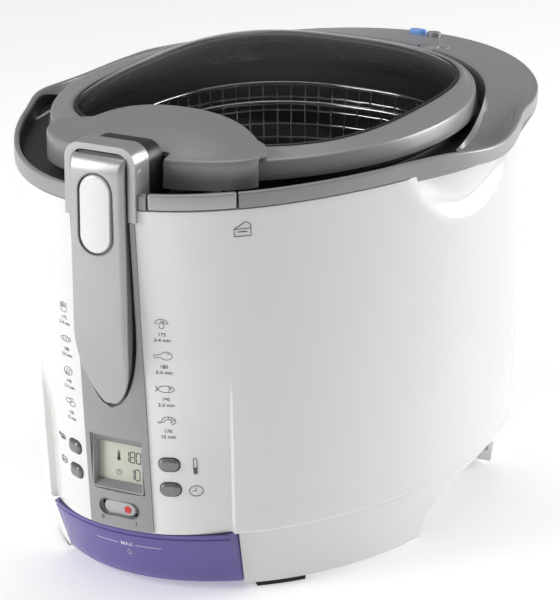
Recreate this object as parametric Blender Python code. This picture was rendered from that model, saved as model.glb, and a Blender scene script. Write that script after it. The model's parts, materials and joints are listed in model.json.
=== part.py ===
"""Household deep fryer with a hinged window lid, a folding handle, a basket and a water tray.

Frame: metres, +Z up, front towards -Y, +X to the right seen from the front.  The origin is
at the centre of the footprint, on the surface that the rubber feet stand on.
"""
import math

import bmesh
import bpy
from mathutils import Vector

# ---------------------------------------------------------------- driving dimensions (metres)
BODY_HALF_WIDTH = 0.134          # shell at its top
BODY_HALF_DEPTH = 0.195
SHELL_BOTTOM = 0.0372
SHELL_TOP = 0.2152
TAPER_WIDTH = 0.0107             # how far the sides draw in from the top to the bottom
TAPER_DEPTH = 0.0163
WALL = 0.0025
GAP = 0.0003                     # between pieces that touch
SLIP = 0.0005                    # round pieces that move or drop in

BAND_HEIGHT = 0.0078             # grey rim band on top of the shell
REAR_RISE = 0.007                # the rear deck stands higher than the front rim
REAR_BULGE = 0.0053              # and reaches further back
GRIP_BULGE = 0.0123              # side lips to lift the fryer by
GRIP_RISE = 0.004
GRIP_SCOOP = 0.006               # hollow in the shell below each lip
GRIP_DEPTH = 0.026
GRIP_START = 62.0                # degrees from the front
GRIP_END = 112.0

PANEL_HALF_ANGLE = 27.7          # front panel between the two steps, degrees
PANEL_STEP = 0.0045
PANEL_FLAT = 0.022               # the panel starts to turn in from here
PANEL_TOP = 0.130                # the step has faded out at this height

LID_SIDE_MARGIN = 0.0217         # from the shell's outside to the lid's skirt
LID_END_MARGIN = 0.0535
LID_CENTRE_Y = -0.0145
LID_BOTTOM = 0.2283
LID_TOP = 0.2420
WINDOW_MARGIN = 0.0203           # from the lid's skirt to the window
WINDOW_DEPTH_MARGIN = 0.0265
WINDOW_DOME = 0.0160
WINDOW_THICKNESS = 0.0024
WINDOW_CENTRE_Y = -0.010
LID_OPEN_ANGLE = 80.0
HINGE_Y = 0.134
HINGE_Z = 0.2315
DECK_EDGE_Z = 0.2375             # rear deck beside the lid
HINGE_ARM_X = 0.030
HINGE_ARM_WIDTH = 0.012
HINGE_PIN_RADIUS = 0.002

POT_MARGIN = 0.0133              # from the lid's skirt to the pot's wall
POT_DEPTH_MARGIN = 0.0185
POT_CENTRE_Y = -0.012
POT_BOTTOM = 0.080
POT_TAPER = 0.010
POT_WALL = 0.0015
POT_POWER = 2.4
BASKET_MARGIN = 0.008
BASKET_TOP = 0.215
BASKET_DEPTH = 0.084
BASKET_TAPER = 0.013
BASKET_POWER = 2.5
BASKET_WALL = 0.0009
BASKET_DROP = 0.045

COVER_HALF_WIDTH = 0.0645
COVER_FRONT = -0.168
COVER_CORNER_Y = -0.1403
COVER_APEX_Y = -0.104
COVER_EDGE_Z = 0.2435
COVER_WALL = 0.0022

STRIP_HALF_WIDTH = 0.0193
STRIP_BOTTOM = 0.0385
STRIP_PROUD = 0.0015
STRIP_WALL = 0.00115
SCOOP_BOTTOM = 0.1096
SCOOP_DEPTH = 0.014
DISPLAY_HALF_WIDTH = 0.016
DISPLAY_LOW = 0.060
DISPLAY_HIGH = 0.092
BEZEL_BORDER = 0.006
BOARD_Y = -0.1669
BOARD_HALF_WIDTH = 0.036
SWITCH_Z = 0.050
SWITCH_HALF_LENGTH = 0.0121
SWITCH_HALF_HEIGHT = 0.0046
SLIDER_HALF_LENGTH = 0.0098
SLIDER_TRAVEL = 0.002
BUTTON_X = 0.029
BUTTON_ROWS = (0.0791, 0.0647)
BUTTON_HALF_WIDTH = 0.00575
BUTTON_HALF_HEIGHT = 0.00425
BUTTON_PROUD = 0.0010
BUTTON_TRAVEL = 0.0015

BRACKET_HALF_WIDTH = 0.021
BRACKET_FRONT = -0.1935
BRACKET_BACK = -0.161
BRACKET_TOP = 0.2552
BRACKET_LEG = 0.0045
HANDLE_HALF_WIDTH = 0.016
HANDLE_TIP = 0.1115
HANDLE_PIVOT_Y = -0.1896
HANDLE_PIVOT_Z = 0.2412
HANDLE_NOSE = 0.0102
HANDLE_LAYER = 0.0062            # thickness of the front layer
HANDLE_PIN_RADIUS = 0.0022
RELEASE_HALF_WIDTH = 0.0096
RELEASE_LOW = 0.198
RELEASE_HIGH = 0.241
RELEASE_TRAVEL = 0.0012

BAR_X = (0.026, 0.067)           # lid release bar in the rim band
BAR_THICKNESS = 0.004
BAR_TRAVEL = 0.0025
BAR_SLACK = 0.0016                # room at the bar's ends for its slanted travel

FOOT_HALF_WIDTH = 0.1137
FOOT_HALF_DEPTH = 0.161
FOOT_PAD = 0.0022
SKIRT_TOP = 0.060
SKIRT_FLARE = 0.0045             # growth of the skirt from the floor to the shell
FLOOR_LOW = 0.040
FLOOR_HIGH = 0.043
LEDGE = 0.008                    # inward lip that carries the rubber feet
ARCH_FRONT = -0.040
ARCH_REAR = 0.085
ARCH_HEIGHT = 0.030

TRAY_HALF_WIDTH = 0.0544
TRAY_BOTTOM = 0.0043
TRAY_TOP = 0.0368
TRAY_REAR = -0.040
TRAY_WALL = 0.002
TRAY_SINK = 0.0006               # the tray's front stands this far behind the skirt's line

# ---------------------------------------------------------------- finishes
FINISHES = {
    "white": ((0.82, 0.82, 0.80), 0.25, 0.0),
    "grey": ((0.36, 0.36, 0.37), 0.45, 0.0),
    "silver": ((0.50, 0.50, 0.51), 0.38, 0.2),
    "pale": ((0.80, 0.80, 0.79), 0.3, 0.0),
    "black": ((0.02, 0.02, 0.02), 0.4, 0.0),
    "rubber": ((0.03, 0.03, 0.03), 0.8, 0.0),
    "smoked": ((0.05, 0.055, 0.05), 0.06, 0.0),
    "violet": ((0.16, 0.14, 0.40), 0.12, 0.0),
    "lcd": ((0.53, 0.56, 0.44), 0.3, 0.0),
    "steel": ((0.55, 0.55, 0.56), 0.3, 1.0),
    "chrome": ((0.75, 0.75, 0.74), 0.12, 1.0),
    "aluminium": ((0.62, 0.63, 0.64), 0.35, 1.0),
    "board": ((0.03, 0.16, 0.07), 0.5, 0.0),
    "blue": ((0.15, 0.35, 0.85), 0.2, 0.0),
}

FINE = sorted([7.5 * i for i in range(48)]
              + [side * angle % 360.0 for side in (-1, 1)
                 for angle in (3.75, 11.25, 18.75, PANEL_HALF_ANGLE, PANEL_HALF_ANGLE + 0.5)])
COARSE = [9.0 * i for i in range(40)]


# ---------------------------------------------------------------- building tools
def clear_scene():
    """Remove every object of the open file."""
    for thing in list(bpy.data.objects):
        bpy.data.objects.remove(thing, do_unlink=True)


def finish(name):
    """Return a material of the table above, making it on first use."""
    made = bpy.data.materials.get(name)
    if made is None:
        colour, roughness, metallic = FINISHES[name]
        made = bpy.data.materials.new(name)
        made.use_nodes = True
        shader = made.node_tree.nodes["Principled BSDF"]
        shader.inputs["Base Color"].default_value = (*colour, 1.0)
        shader.inputs["Roughness"].default_value = roughness
        shader.inputs["Metallic"].default_value = metallic
    return made


def add_object(name, mesh_data, material, origin=(0.0, 0.0, 0.0)):
    """Put a bmesh in the scene as one object with its origin at the given point."""
    centre = Vector(origin)
    for vert in mesh_data.verts:
        vert.co -= centre
    bmesh.ops.recalc_face_normals(mesh_data, faces=mesh_data.faces)
    mesh = bpy.data.meshes.new(name)
    mesh_data.to_mesh(mesh)
    mesh_data.free()
    mesh.shade_smooth()
    mesh.set_sharp_from_angle(angle=math.radians(35.0))
    thing = bpy.data.objects.new(name, mesh)
    thing.location = centre
    bpy.context.scene.collection.objects.link(thing)
    if material:
        mesh.materials.append(finish(material))
    return thing


def loft(name, rings, material, closed=False, origin=(0.0, 0.0, 0.0)):
    """Skin equal rings; open stacks get end caps, closed ones join the last to the first."""
    made = bmesh.new()
    loops = [[made.verts.new(point) for point in ring] for ring in rings]
    count = len(loops[0])
    pairs = list(zip(loops, loops[1:]))
    if closed:
        pairs.append((loops[-1], loops[0]))
    for low, high in pairs:
        for i in range(count):
            j = (i + 1) % count
            made.faces.new((low[i], low[j], high[j], high[i]))
    if not closed:
        made.faces.new(loops[0][::-1])
        made.faces.new(loops[-1])
    return add_object(name, made, material, origin)


def box(name, low, high, material=None):
    """Axis-aligned box between two corners."""
    rings = [[(low[0], low[1], z), (high[0], low[1], z), (high[0], high[1], z), (low[0], high[1], z)]
             for z in (low[2], high[2])]
    return loft(name, rings, material)


def prism(name, outline, axis, low, high, material=None, origin=(0.0, 0.0, 0.0)):
    """Extrude a plane outline along X, Y or Z; its two numbers are the other two axes."""
    def place(u, v, w):
        return {"x": (w, u, v), "y": (u, w, v), "z": (u, v, w)}[axis]
    return loft(name, [[place(u, v, w) for u, v in outline] for w in (low, high)], material,
                origin=origin)


def circle(centre, radius, count=24):
    """Points of a circle in a plane."""
    return [(centre[0] + radius * math.cos(2 * math.pi * i / count),
             centre[1] + radius * math.sin(2 * math.pi * i / count)) for i in range(count)]


def rod(name, axis, centre, radius, low, high, material=None, count=24):
    """Round bar along an axis; centre holds the two other coordinates."""
    return prism(name, circle(centre, radius, count), axis, low, high, material)


def pill(centre, half_length, half_height, radius, steps=5):
    """Rounded rectangle around a centre, long along its first axis."""
    radius = min(radius, half_length, half_height)
    points = []
    for corner, (sx, sz) in enumerate(((1, 1), (-1, 1), (-1, -1), (1, -1))):
        for i in range(steps + 1):
            angle = math.radians(90 * corner + 90 * i / steps)
            points.append((centre[0] + sx * (half_length - radius) + radius * math.cos(angle),
                           centre[1] + sz * (half_height - radius) + radius * math.sin(angle)))
    return points


def add_modifier(target, other, operation):
    """Combine another closed mesh with a piece; the other mesh is only a guide."""
    other.hide_render = True
    other.display_type = "WIRE"
    modifier = target.modifiers.new(operation.lower(), "BOOLEAN")
    modifier.operation = operation
    modifier.solver = "EXACT"
    modifier.object = other


def cut(target, *cutters):
    """Take the cutters away from a piece."""
    for cutter in cutters:
        add_modifier(target, cutter, "DIFFERENCE")


def fuse(target, *additions):
    """Add bosses and ribs to a piece."""
    for addition in additions:
        add_modifier(target, addition, "UNION")


# ---------------------------------------------------------------- shape of the body
def smooth(value):
    """Ease from 0 to 1."""
    value = min(max(value, 0.0), 1.0)
    return value * value * (3.0 - 2.0 * value)


def side_angle(angle):
    """Angle from the front, 0 to 180 degrees on either side."""
    angle = angle % 360.0
    return min(angle, 360.0 - angle)


def oval(half_width, half_depth, centre_y, height, power=2.0, angles=FINE, push=None):
    """Superellipse ring; height and push (a move along the outline's normal) may vary."""
    ring = []
    for angle in angles:
        turn = math.radians(angle)
        sine, cosine = math.sin(turn), math.cos(turn)
        x = half_width * math.copysign(abs(sine) ** (2.0 / power), sine)
        y = -half_depth * math.copysign(abs(cosine) ** (2.0 / power), cosine)
        z = height(angle) if callable(height) else height
        if push:
            normal = Vector((x / half_width ** 2, y / half_depth ** 2)).normalized()
            amount = push(angle, x, z) if callable(push) else push
            x += normal.x * amount
            y += normal.y * amount
        ring.append((x, y + centre_y, z))
    return ring


def body_size(z):
    """Half width and half depth of the shell's outside at a height."""
    share = (BAND_TOP - z) / (BAND_TOP - SHELL_BOTTOM)
    return BODY_HALF_WIDTH - TAPER_WIDTH * share, BODY_HALF_DEPTH - TAPER_DEPTH * share


def grip_share(angle):
    """0 away from the side grips, 1 in the middle of one."""
    share = (side_angle(angle) - GRIP_START) / (GRIP_END - GRIP_START)
    if not 0.0 < share < 1.0:
        return 0.0
    return smooth(2.0 * min(share, 1.0 - share))


def rear_share(angle):
    """0 at the front and sides, 1 across the rear deck."""
    return smooth((side_angle(angle) - 105.0) / 45.0)


def panel_inset(angle, x, z):
    """How far the front panel stands inside the body's outline."""
    if side_angle(angle) > PANEL_HALF_ANGLE + 0.01:
        return 0.0
    fade = smooth((PANEL_TOP - z) / 0.05)
    reach = BODY_HALF_WIDTH * math.sin(math.radians(PANEL_HALF_ANGLE)) - PANEL_FLAT
    return PANEL_STEP * fade * min(max((abs(x) - PANEL_FLAT) / reach, 0.0), 1.0) ** 1.6


def grip_inset(angle, z):
    """Depth of the hollow under a side lip."""
    return GRIP_SCOOP * grip_share(angle) * smooth((z - SHELL_TOP + GRIP_DEPTH) / GRIP_DEPTH)


def shell_ring(z, inset=0.0):
    """Ring of the shell's surface, moved inwards."""
    half_width, half_depth = body_size(z)

    def push(angle, x, height):
        return -inset - panel_inset(angle, x, height) - grip_inset(angle, height)
    return oval(half_width, half_depth, 0.0, z, push=push)


def front_y(x, z, inset=0.0):
    """Y of the front surface at a place, moved inwards (or outwards when negative)."""
    half_width, half_depth = body_size(z)
    root = math.sqrt(1.0 - (x / half_width) ** 2)
    slope = half_depth / half_width ** 2 * x / root
    away = panel_inset(0.0, x, z) + inset
    return -half_depth * root + away * math.sqrt(1.0 + slope * slope)


def plug(name, outline, front, back, material, origin):
    """Piece with its outline in X and Z between two surfaces given as functions of x and z."""
    rings = [[(x, side(x, z), z) for x, z in outline] for side in (back, front)]
    return loft(name, rings, material, origin=origin)


BAND_TOP = SHELL_TOP + GAP + BAND_HEIGHT
LID_HALF_WIDTH = BODY_HALF_WIDTH - LID_SIDE_MARGIN
LID_HALF_DEPTH = BODY_HALF_DEPTH - LID_END_MARGIN
WINDOW_HALF_WIDTH = LID_HALF_WIDTH - WINDOW_MARGIN
WINDOW_HALF_DEPTH = LID_HALF_DEPTH - WINDOW_DEPTH_MARGIN
POT_HALF_WIDTH = LID_HALF_WIDTH - POT_MARGIN
POT_HALF_DEPTH = LID_HALF_DEPTH - POT_DEPTH_MARGIN
CHANNEL_Z = BAND_TOP - 0.0020
CHANNEL_EDGE = 0.0047            # from the lid's skirt out to the channel's edge
DECK_WALL = 0.003
POT_RIM_TOP = CHANNEL_Z + GAP + POT_WALL


# ---------------------------------------------------------------- base
def skirt_size(z):
    """Half width and half depth of the skirt's outside."""
    share = z / FLOOR_LOW
    return FOOT_HALF_WIDTH + SKIRT_FLARE * share, FOOT_HALF_DEPTH + 1.6 * SKIRT_FLARE * share


def skirt_ring(z, inset=0.0):
    """Ring of the skirt's outside, moved inwards."""
    half_width, half_depth = skirt_size(z)
    return oval(half_width, half_depth, 0.0, z, push=-inset)


def make_base_skirt():
    """Skirt, floor and flange in one moulding, with the tray bay and the side arches cut out."""
    flange_low = SKIRT_TOP - 0.003
    rings = [skirt_ring(FLOOR_LOW, WALL), skirt_ring(0.010, WALL), skirt_ring(0.008, LEDGE),
             skirt_ring(FOOT_PAD + GAP, LEDGE), skirt_ring(FOOT_PAD + GAP, 0.0004),
             skirt_ring(FOOT_PAD + 0.001), skirt_ring(FLOOR_LOW),
             oval(*skirt_size(FLOOR_LOW), 0.0, flange_low - 0.003),
             shell_ring(flange_low, WALL + SLIP), shell_ring(SKIRT_TOP, WALL + SLIP),
             oval(*skirt_size(FLOOR_LOW), 0.0, SKIRT_TOP, push=-WALL),
             oval(*skirt_size(FLOOR_LOW), 0.0, FLOOR_HIGH, push=-WALL)]
    skirt = loft("base_skirt", rings, "white")
    bay = box("cut_tray_bay", (-TRAY_HALF_WIDTH - SLIP, -0.25, -0.01),
              (TRAY_HALF_WIDTH + SLIP, -FOOT_HALF_DEPTH * 0.72, FLOOR_LOW - 0.0015))
    middle = (ARCH_FRONT + ARCH_REAR) / 2.0
    reach = (ARCH_REAR - ARCH_FRONT) / 2.0
    arch = [(middle - reach * math.cos(math.radians(a)),
             FOOT_PAD - 0.005 + (ARCH_HEIGHT - FOOT_PAD + 0.005) * math.sin(math.radians(a)) ** 0.7)
            for a in range(0, 181, 12)]
    arches = prism("cut_side_arches", arch, "x", -0.2, 0.2)
    duct_hole = box("cut_duct_hole", (DUCT_X[0] - SLIP, DUCT_Y[0] - SLIP, 0.03),
                    (DUCT_X[1] + SLIP, DUCT_Y[1] + SLIP, 0.05))
    control_bay = box("cut_control_bay", (-BOARD_HALF_WIDTH - 0.004, -0.25, FLOOR_HIGH + SLIP),
                      (BOARD_HALF_WIDTH + 0.004, BOARD_Y + 0.012, SKIRT_TOP + 0.02))
    cut(skirt, bay, arches, duct_hole, control_bay)
    for number, (x, y) in enumerate(screw_places(), 1):
        cut(skirt, rod(f"cut_floor_screw_{number}", "z", (x, y), SCREW_RADIUS + GAP, 0.03, 0.05, count=12))


def make_feet():
    """Four rubber pads under the skirt's lip."""
    for name, middle in (("front_right", 38.0), ("rear_right", 142.0), ("rear_left", 218.0),
                         ("front_left", 322.0)):
        angles = [middle + 1.5 * i for i in range(-4, 5)]
        rings = []
        for z in (0.0, FOOT_PAD):
            outer = oval(*skirt_size(0.0), 0.0, z, angles=angles, push=-0.001)
            inner = oval(*skirt_size(0.0), 0.0, z, angles=angles, push=-LEDGE)
            rings.append(outer + inner[::-1])
        loft(f"foot_{name}", rings, "rubber")


SCREW_RADIUS = 0.0016
SCREW_HEAD = 0.0035


def screw_places():
    """Places of the four screws that hold the heat shield to the floor."""
    across = POT_HALF_WIDTH - POT_TAPER - 0.022
    along = POT_HALF_DEPTH - POT_TAPER - 0.040
    return [(sx * across, POT_CENTRE_Y + sy * along) for sx in (-1, 1) for sy in (-1, 1)]


def make_base_screws():
    """Screws through the floor and the heat shield's foot."""
    for number, (x, y) in enumerate(screw_places(), 1):
        rings = [[(px, py, z) for px, py in circle((x, y), radius, 12)]
                 for radius, z in ((SCREW_HEAD, FLOOR_LOW - 0.0023), (SCREW_HEAD, FLOOR_LOW - GAP),
                                   (SCREW_RADIUS, FLOOR_LOW - GAP), (SCREW_RADIUS, FLOOR_HIGH + 0.006))]
        loft(f"base_screw_{number}", rings, "steel")


def make_shell():
    """White outer shell with the stepped front panel and the hollows under the grips."""
    levels = [SHELL_BOTTOM + 0.0015, PANEL_TOP - 0.045, PANEL_TOP - 0.023, PANEL_TOP,
              SHELL_TOP - GRIP_DEPTH, SHELL_TOP - 0.45 * GRIP_DEPTH, SHELL_TOP]
    rings = [shell_ring(SHELL_BOTTOM, 0.001)] + [shell_ring(z) for z in levels]
    rings += [shell_ring(z, WALL) for z in reversed(levels)] + [shell_ring(SHELL_BOTTOM, WALL)]
    shell = loft("outer_shell", rings, "white", closed=True)
    slot = box("cut_scoop_slot", (-SCOOP_SLOT, -0.3, SCOOP_BOTTOM - 0.0016), (SCOOP_SLOT, -0.14, 0.25))
    cut(shell, slot, display_cutter("shell"), switch_cutter("shell"))
    for name, x, z in button_places():
        hole = pill((x, z), BUTTON_HALF_WIDTH + SLIP, BUTTON_HALF_HEIGHT + SLIP, BUTTON_HALF_HEIGHT)
        cut(shell, prism(f"cut_{name}", hole, "y", -0.25, -0.14))
    cut(shell, rod("cut_inlet", "y", (INLET_X, INLET_Z), INLET_RADIUS + SLIP, 0.14, 0.25))


# ---------------------------------------------------------------- rim
def band_push(angle, _x, _z):
    """Outline of the rim band: side lips and a fuller rear."""
    return GRIP_BULGE * grip_share(angle) + REAR_BULGE * rear_share(angle)


def make_collar():
    """Grey rim band, rear deck and the channel that the lid closes into."""
    def outer_z(angle):
        return BAND_TOP + GRIP_RISE * grip_share(angle) + REAR_RISE * rear_share(angle)

    def inner_z(angle):
        return BAND_TOP + (DECK_EDGE_Z - BAND_TOP) * rear_share(angle)

    def band(z, inset):
        return oval(BODY_HALF_WIDTH, BODY_HALF_DEPTH, 0.0, z,
                    push=lambda angle, x, height: band_push(angle, x, height) - inset)

    def back(z, inset):
        def push(angle, _x, _height):
            return REAR_BULGE * rear_share(angle) - inset - (GRIP_SCOOP + SLIP) * grip_share(angle)
        return oval(BODY_HALF_WIDTH, BODY_HALF_DEPTH, 0.0, z, push=push)

    def channel(z, inset):
        return oval(LID_HALF_WIDTH + CHANNEL_EDGE - inset, LID_HALF_DEPTH + CHANNEL_EDGE - inset,
                    LID_CENTRE_Y, z)

    def mouth(z, inset):
        return oval(POT_HALF_WIDTH + 0.0025 - inset, POT_HALF_DEPTH + 0.0025 - inset, POT_CENTRE_Y, z,
                    power=POT_POWER)

    bottom = SHELL_TOP + GAP
    rings = [band(bottom + 0.001, 0.0), band(lambda a: outer_z(a) - 0.0012, 0.0), band(outer_z, 0.0015),
             channel(inner_z, 0.0), channel(CHANNEL_Z, 0.0012), mouth(CHANNEL_Z, 0.0),
             mouth(CHANNEL_Z - 0.007, 0.0), mouth(CHANNEL_Z - 0.007, -WALL),
             mouth(CHANNEL_Z - DECK_WALL, -WALL), channel(CHANNEL_Z - DECK_WALL, 0.0012 - WALL),
             channel(lambda a: inner_z(a) - DECK_WALL, -WALL), back(lambda a: outer_z(a) - DECK_WALL, WALL),
             back(bottom, WALL), band(bottom, 0.001)]
    collar = loft("collar", rings, "grey", closed=True)
    for side in (-1, 1):
        for edge in (-1, 1):
            x = side * HINGE_ARM_X + edge * (HINGE_ARM_WIDTH / 2 + SLIP + 0.002)
            fuse(collar, box(f"boss_{side}_{edge}", (x - 0.002, HINGE_Y - 0.005, HINGE_Z - 0.006),
                             (x + 0.002, HINGE_Y + 0.007, HINGE_Z + 0.0044)))
    for side in (-1, 1):
        x = side * HINGE_ARM_X
        reach = HINGE_ARM_WIDTH / 2 + SLIP
        cut(collar, box(f"cut_hinge_slot_{side}", (x - reach, HINGE_Y - 0.012, HINGE_Z - 0.0085),
                        (x + reach, HINGE_Y + 0.0078, HINGE_Z + 0.016)))
        cut(collar, rod(f"cut_hinge_bore_{side}", "x", (HINGE_Y, HINGE_Z), HINGE_PIN_RADIUS + GAP,
                        x - reach - 0.0045, x + reach + 0.0045, count=16))
    cut(collar, box("cut_bracket_notch", (-BRACKET_HALF_WIDTH - SLIP, -0.3, 0.20),
                    (BRACKET_HALF_WIDTH + SLIP, BRACKET_BACK + SLIP, 0.26)))
    cut(collar, bar_piece("cut_bar_pocket", -0.01, BAR_THICKNESS + BAR_TRAVEL + SLIP, BAR_SLACK, None))
    cut(collar, box("cut_hook_slot", (HOOK_X[0] - 0.001, HOOK_Y[0] - 0.005, 0.20),
                    (HOOK_X[1] + 0.001, HOOK_Y[1] + 0.0025, 0.2245)))
    cut(collar, box("cut_steam_inlet", (DUCT_X[0] + 0.002, DUCT_Y[0] + 0.002, 0.20),
                    (DUCT_X[1] - 0.002, DUCT_Y[1] - 0.002, 0.2245)))
    cut(collar, prism("cut_lamp", pill(LAMP_PLACE, 0.0055 + GAP, 0.003 + GAP, 0.003), "z", 0.2, 0.25))
    cut(collar, prism("cut_reset", circle(RESET_PLACE, RESET_RADIUS + SLIP), "z", 0.2, 0.25))


LAMP_PLACE = (0.0, 0.181)
RESET_PLACE = (0.0120, 0.178)
RESET_RADIUS = 0.0042


def deck_z(y):
    """Top of the rear deck along its middle."""
    front, rear = LID_CENTRE_Y + LID_HALF_DEPTH + CHANNEL_EDGE, BODY_HALF_DEPTH + REAR_BULGE - 0.0015
    share = (y - front) / (rear - front)
    return DECK_EDGE_Z * (1.0 - share) + (BAND_TOP + REAR_RISE) * share


def make_deck_pieces():
    """Ready lamp, filter reset button and the filter below the rear deck."""
    lamp = prism("ready_lamp", pill(LAMP_PLACE, 0.0055, 0.003, 0.003), "z",
                 deck_z(LAMP_PLACE[1]) - 0.005, deck_z(LAMP_PLACE[1]) + 0.0002, "blue")
    lamp.name = "ready_lamp"
    top = deck_z(RESET_PLACE[1])
    prism("filter_reset_button", circle(RESET_PLACE, RESET_RADIUS), "z", top - 0.006, top + 0.0004,
          "grey", origin=(*RESET_PLACE, top))
    low = 0.180
    outline = [(0.143, low), (0.173, low), (0.173, deck_z(0.173) - DECK_WALL - 0.0006),
               (0.143, deck_z(0.143) - DECK_WALL - 0.0006)]
    prism("odour_filter", outline, "x", -HINGE_ARM_X, HINGE_ARM_X, "black")


# ---------------------------------------------------------------- pot, heater and base contents
def pot_ring(z, inset=0.0, extra=0.0, angles=COARSE):
    """Ring of the pot's outside; its walls draw in towards the bottom."""
    share = (CHANNEL_Z - z) / (CHANNEL_Z - POT_BOTTOM)
    draw = POT_TAPER * max(share, 0.0)
    return oval(POT_HALF_WIDTH - draw - inset + extra, POT_HALF_DEPTH - draw - inset + extra, POT_CENTRE_Y,
                z, power=POT_POWER, angles=angles)


def make_pot():
    """Coated inner pot that hangs in the collar by its rim."""
    under = CHANNEL_Z + GAP
    corner = POT_BOTTOM + 0.010
    rings = [pot_ring(POT_BOTTOM, 0.012), pot_ring(POT_BOTTOM + 0.0025, 0.003), pot_ring(corner),
             pot_ring(under - 0.001), pot_ring(under, 0.0), pot_ring(under, extra=0.0055),
             pot_ring(POT_RIM_TOP, extra=0.0055), pot_ring(POT_RIM_TOP, POT_WALL),
             pot_ring(corner, POT_WALL), pot_ring(POT_BOTTOM + 0.0035, 0.0045),
             pot_ring(POT_BOTTOM + POT_WALL, 0.0125)]
    loft("inner_pot", rings, "black")


def make_heat_shield():
    """Steel liner round the pot, standing on the floor."""
    low = FLOOR_HIGH + GAP
    wall = 0.001
    rings = [pot_ring(POT_BOTTOM, 0.010), pot_ring(POT_BOTTOM, -0.0040), pot_ring(0.205, -0.0040),
             pot_ring(0.205, -0.0040 + wall), pot_ring(POT_BOTTOM + wall, -0.0040 + wall),
             pot_ring(POT_BOTTOM + wall, 0.010 + wall)]
    drop = POT_BOTTOM - low
    placed = [[(x, y, z - drop if index in (0, 1, 4, 5) else z) for x, y, z in ring]
              for index, ring in enumerate(rings)]
    shield = loft("heat_shield", placed, "aluminium")
    for number, (x, y) in enumerate(screw_places(), 1):
        cut(shield, rod(f"cut_shield_screw_{number}", "z", (x, y), SCREW_RADIUS + GAP, 0.03, 0.06, count=12))


def make_heater():
    """Ring heating element under the pot, with its thermostat and cut-out."""
    radius = 0.0038
    centre_z = POT_BOTTOM - GAP - radius
    half_width = POT_HALF_WIDTH - POT_TAPER - 0.030
    half_depth = POT_HALF_DEPTH - POT_TAPER - 0.036
    rings = []
    for i in range(8):
        turn = 2.0 * math.pi * i / 8
        rings.append(oval(half_width + radius * math.cos(turn), half_depth + radius * math.cos(turn),
                          POT_CENTRE_Y, centre_z + radius * math.sin(turn), angles=COARSE))
    loft("heating_element", rings, "steel", closed=True)
    rod("thermostat", "z", (0.0, POT_CENTRE_Y), 0.011, POT_BOTTOM - 0.014, POT_BOTTOM - GAP, "aluminium")
    box("thermal_cutout", (0.0113, POT_CENTRE_Y - 0.006, POT_BOTTOM - 0.010),
        (0.0250, POT_CENTRE_Y + 0.006, POT_BOTTOM - GAP), "black")


DUCT_X = (-0.044, -0.030)
DUCT_Y = (-0.150, -0.139)
INLET_X = 0.0
INLET_Z = 0.070
INLET_RADIUS = 0.0065


def make_services():
    """Steam duct down to the water tray and the gland of the mains lead."""
    low, high = TRAY_TOP + 0.0012, CHANNEL_Z - DECK_WALL - GAP
    duct = box("steam_duct", (DUCT_X[0], DUCT_Y[0], low), (DUCT_X[1], DUCT_Y[1], high), "pale")
    cut(duct, box("cut_duct", (DUCT_X[0] + 0.0015, DUCT_Y[0] + 0.0015, low - 0.01),
                  (DUCT_X[1] - 0.0015, DUCT_Y[1] - 0.0015, high + 0.01)))
    wall_y = body_size(INLET_Z + INLET_RADIUS + 0.003)[1]
    profile = ((INLET_RADIUS, wall_y - 0.010), (INLET_RADIUS, wall_y + GAP),
               (INLET_RADIUS + 0.003, wall_y + GAP), (INLET_RADIUS + 0.002, wall_y + 0.0035),
               (0.0035, wall_y + 0.0035), (0.0035, wall_y - 0.010))
    rings = [[(x, y, z) for x, z in circle((INLET_X, INLET_Z), radius)] for radius, y in profile]
    loft("mains_gland", rings, "black", closed=True)


# ---------------------------------------------------------------- front panel
SCOOP_INNER = HANDLE_HALF_WIDTH + 0.0006
SCOOP_SLOT = SCOOP_INNER + STRIP_WALL + 0.0006


def display_cutter(owner):
    """Opening of the display's recess."""
    return box(f"cut_display_{owner}", (-DISPLAY_HALF_WIDTH, -0.25, DISPLAY_LOW),
               (DISPLAY_HALF_WIDTH, -0.14, DISPLAY_HIGH))


def switch_cutter(owner):
    """Opening of the power slider's track."""
    outline = pill((0.0, SWITCH_Z), SWITCH_HALF_LENGTH, SWITCH_HALF_HEIGHT, SWITCH_HALF_HEIGHT)
    return prism(f"cut_switch_{owner}", outline, "y", -0.25, -0.14)


def button_places():
    """Name, x and z of the four buttons."""
    names = {(-1, 0): "button_filter", (-1, 1): "button_menu", (1, 0): "button_temperature",
             (1, 1): "button_timer"}
    return [(names[side, row], side * BUTTON_X, z) for side in (-1, 1) for row, z in enumerate(BUTTON_ROWS)]


def scoop_depth(z):
    """Depth of the finger scoop behind the handle."""
    if z <= SCOOP_BOTTOM:
        return 0.0
    return 0.003 + (SCOOP_DEPTH - 0.003) * smooth((z - SCOOP_BOTTOM - 0.001) / 0.040)


def make_strip():
    """Grey centre strip with the finger scoop, the display opening and the slider's track."""
    levels = [STRIP_BOTTOM, 0.050, 0.064, 0.078, 0.092, SCOOP_BOTTOM, SCOOP_BOTTOM + 0.001, 0.118, 0.127,
              0.138, 0.152, 0.180, SHELL_TOP]
    front_x = [SCOOP_INNER + 0.0004, SCOOP_INNER, SCOOP_INNER / 2]
    back_x = [SCOOP_INNER + STRIP_WALL + 0.0003, SCOOP_INNER + STRIP_WALL, SCOOP_INNER / 2]

    def row(level, xs, inset, drop):
        stations = [-STRIP_HALF_WIDTH] + [-x for x in xs] + [0.0] + xs[::-1] + [STRIP_HALF_WIDTH]
        z = level - drop if level > STRIP_BOTTOM and level < SHELL_TOP else level
        points = []
        for x in stations:
            deep = scoop_depth(level) if abs(x) <= xs[1] + 1e-6 else 0.0
            points.append((x, front_y(x, z, inset + deep), z))
        return points
    rings = []
    for level in levels:
        front = row(level, front_x, -STRIP_PROUD, 0.0)
        back = row(level, back_x, -STRIP_PROUD + STRIP_WALL, STRIP_WALL)
        rings.append(front + back[::-1])
    strip = loft("control_strip", rings, "grey")
    cut(strip, display_cutter("strip"), switch_cutter("strip"))


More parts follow.
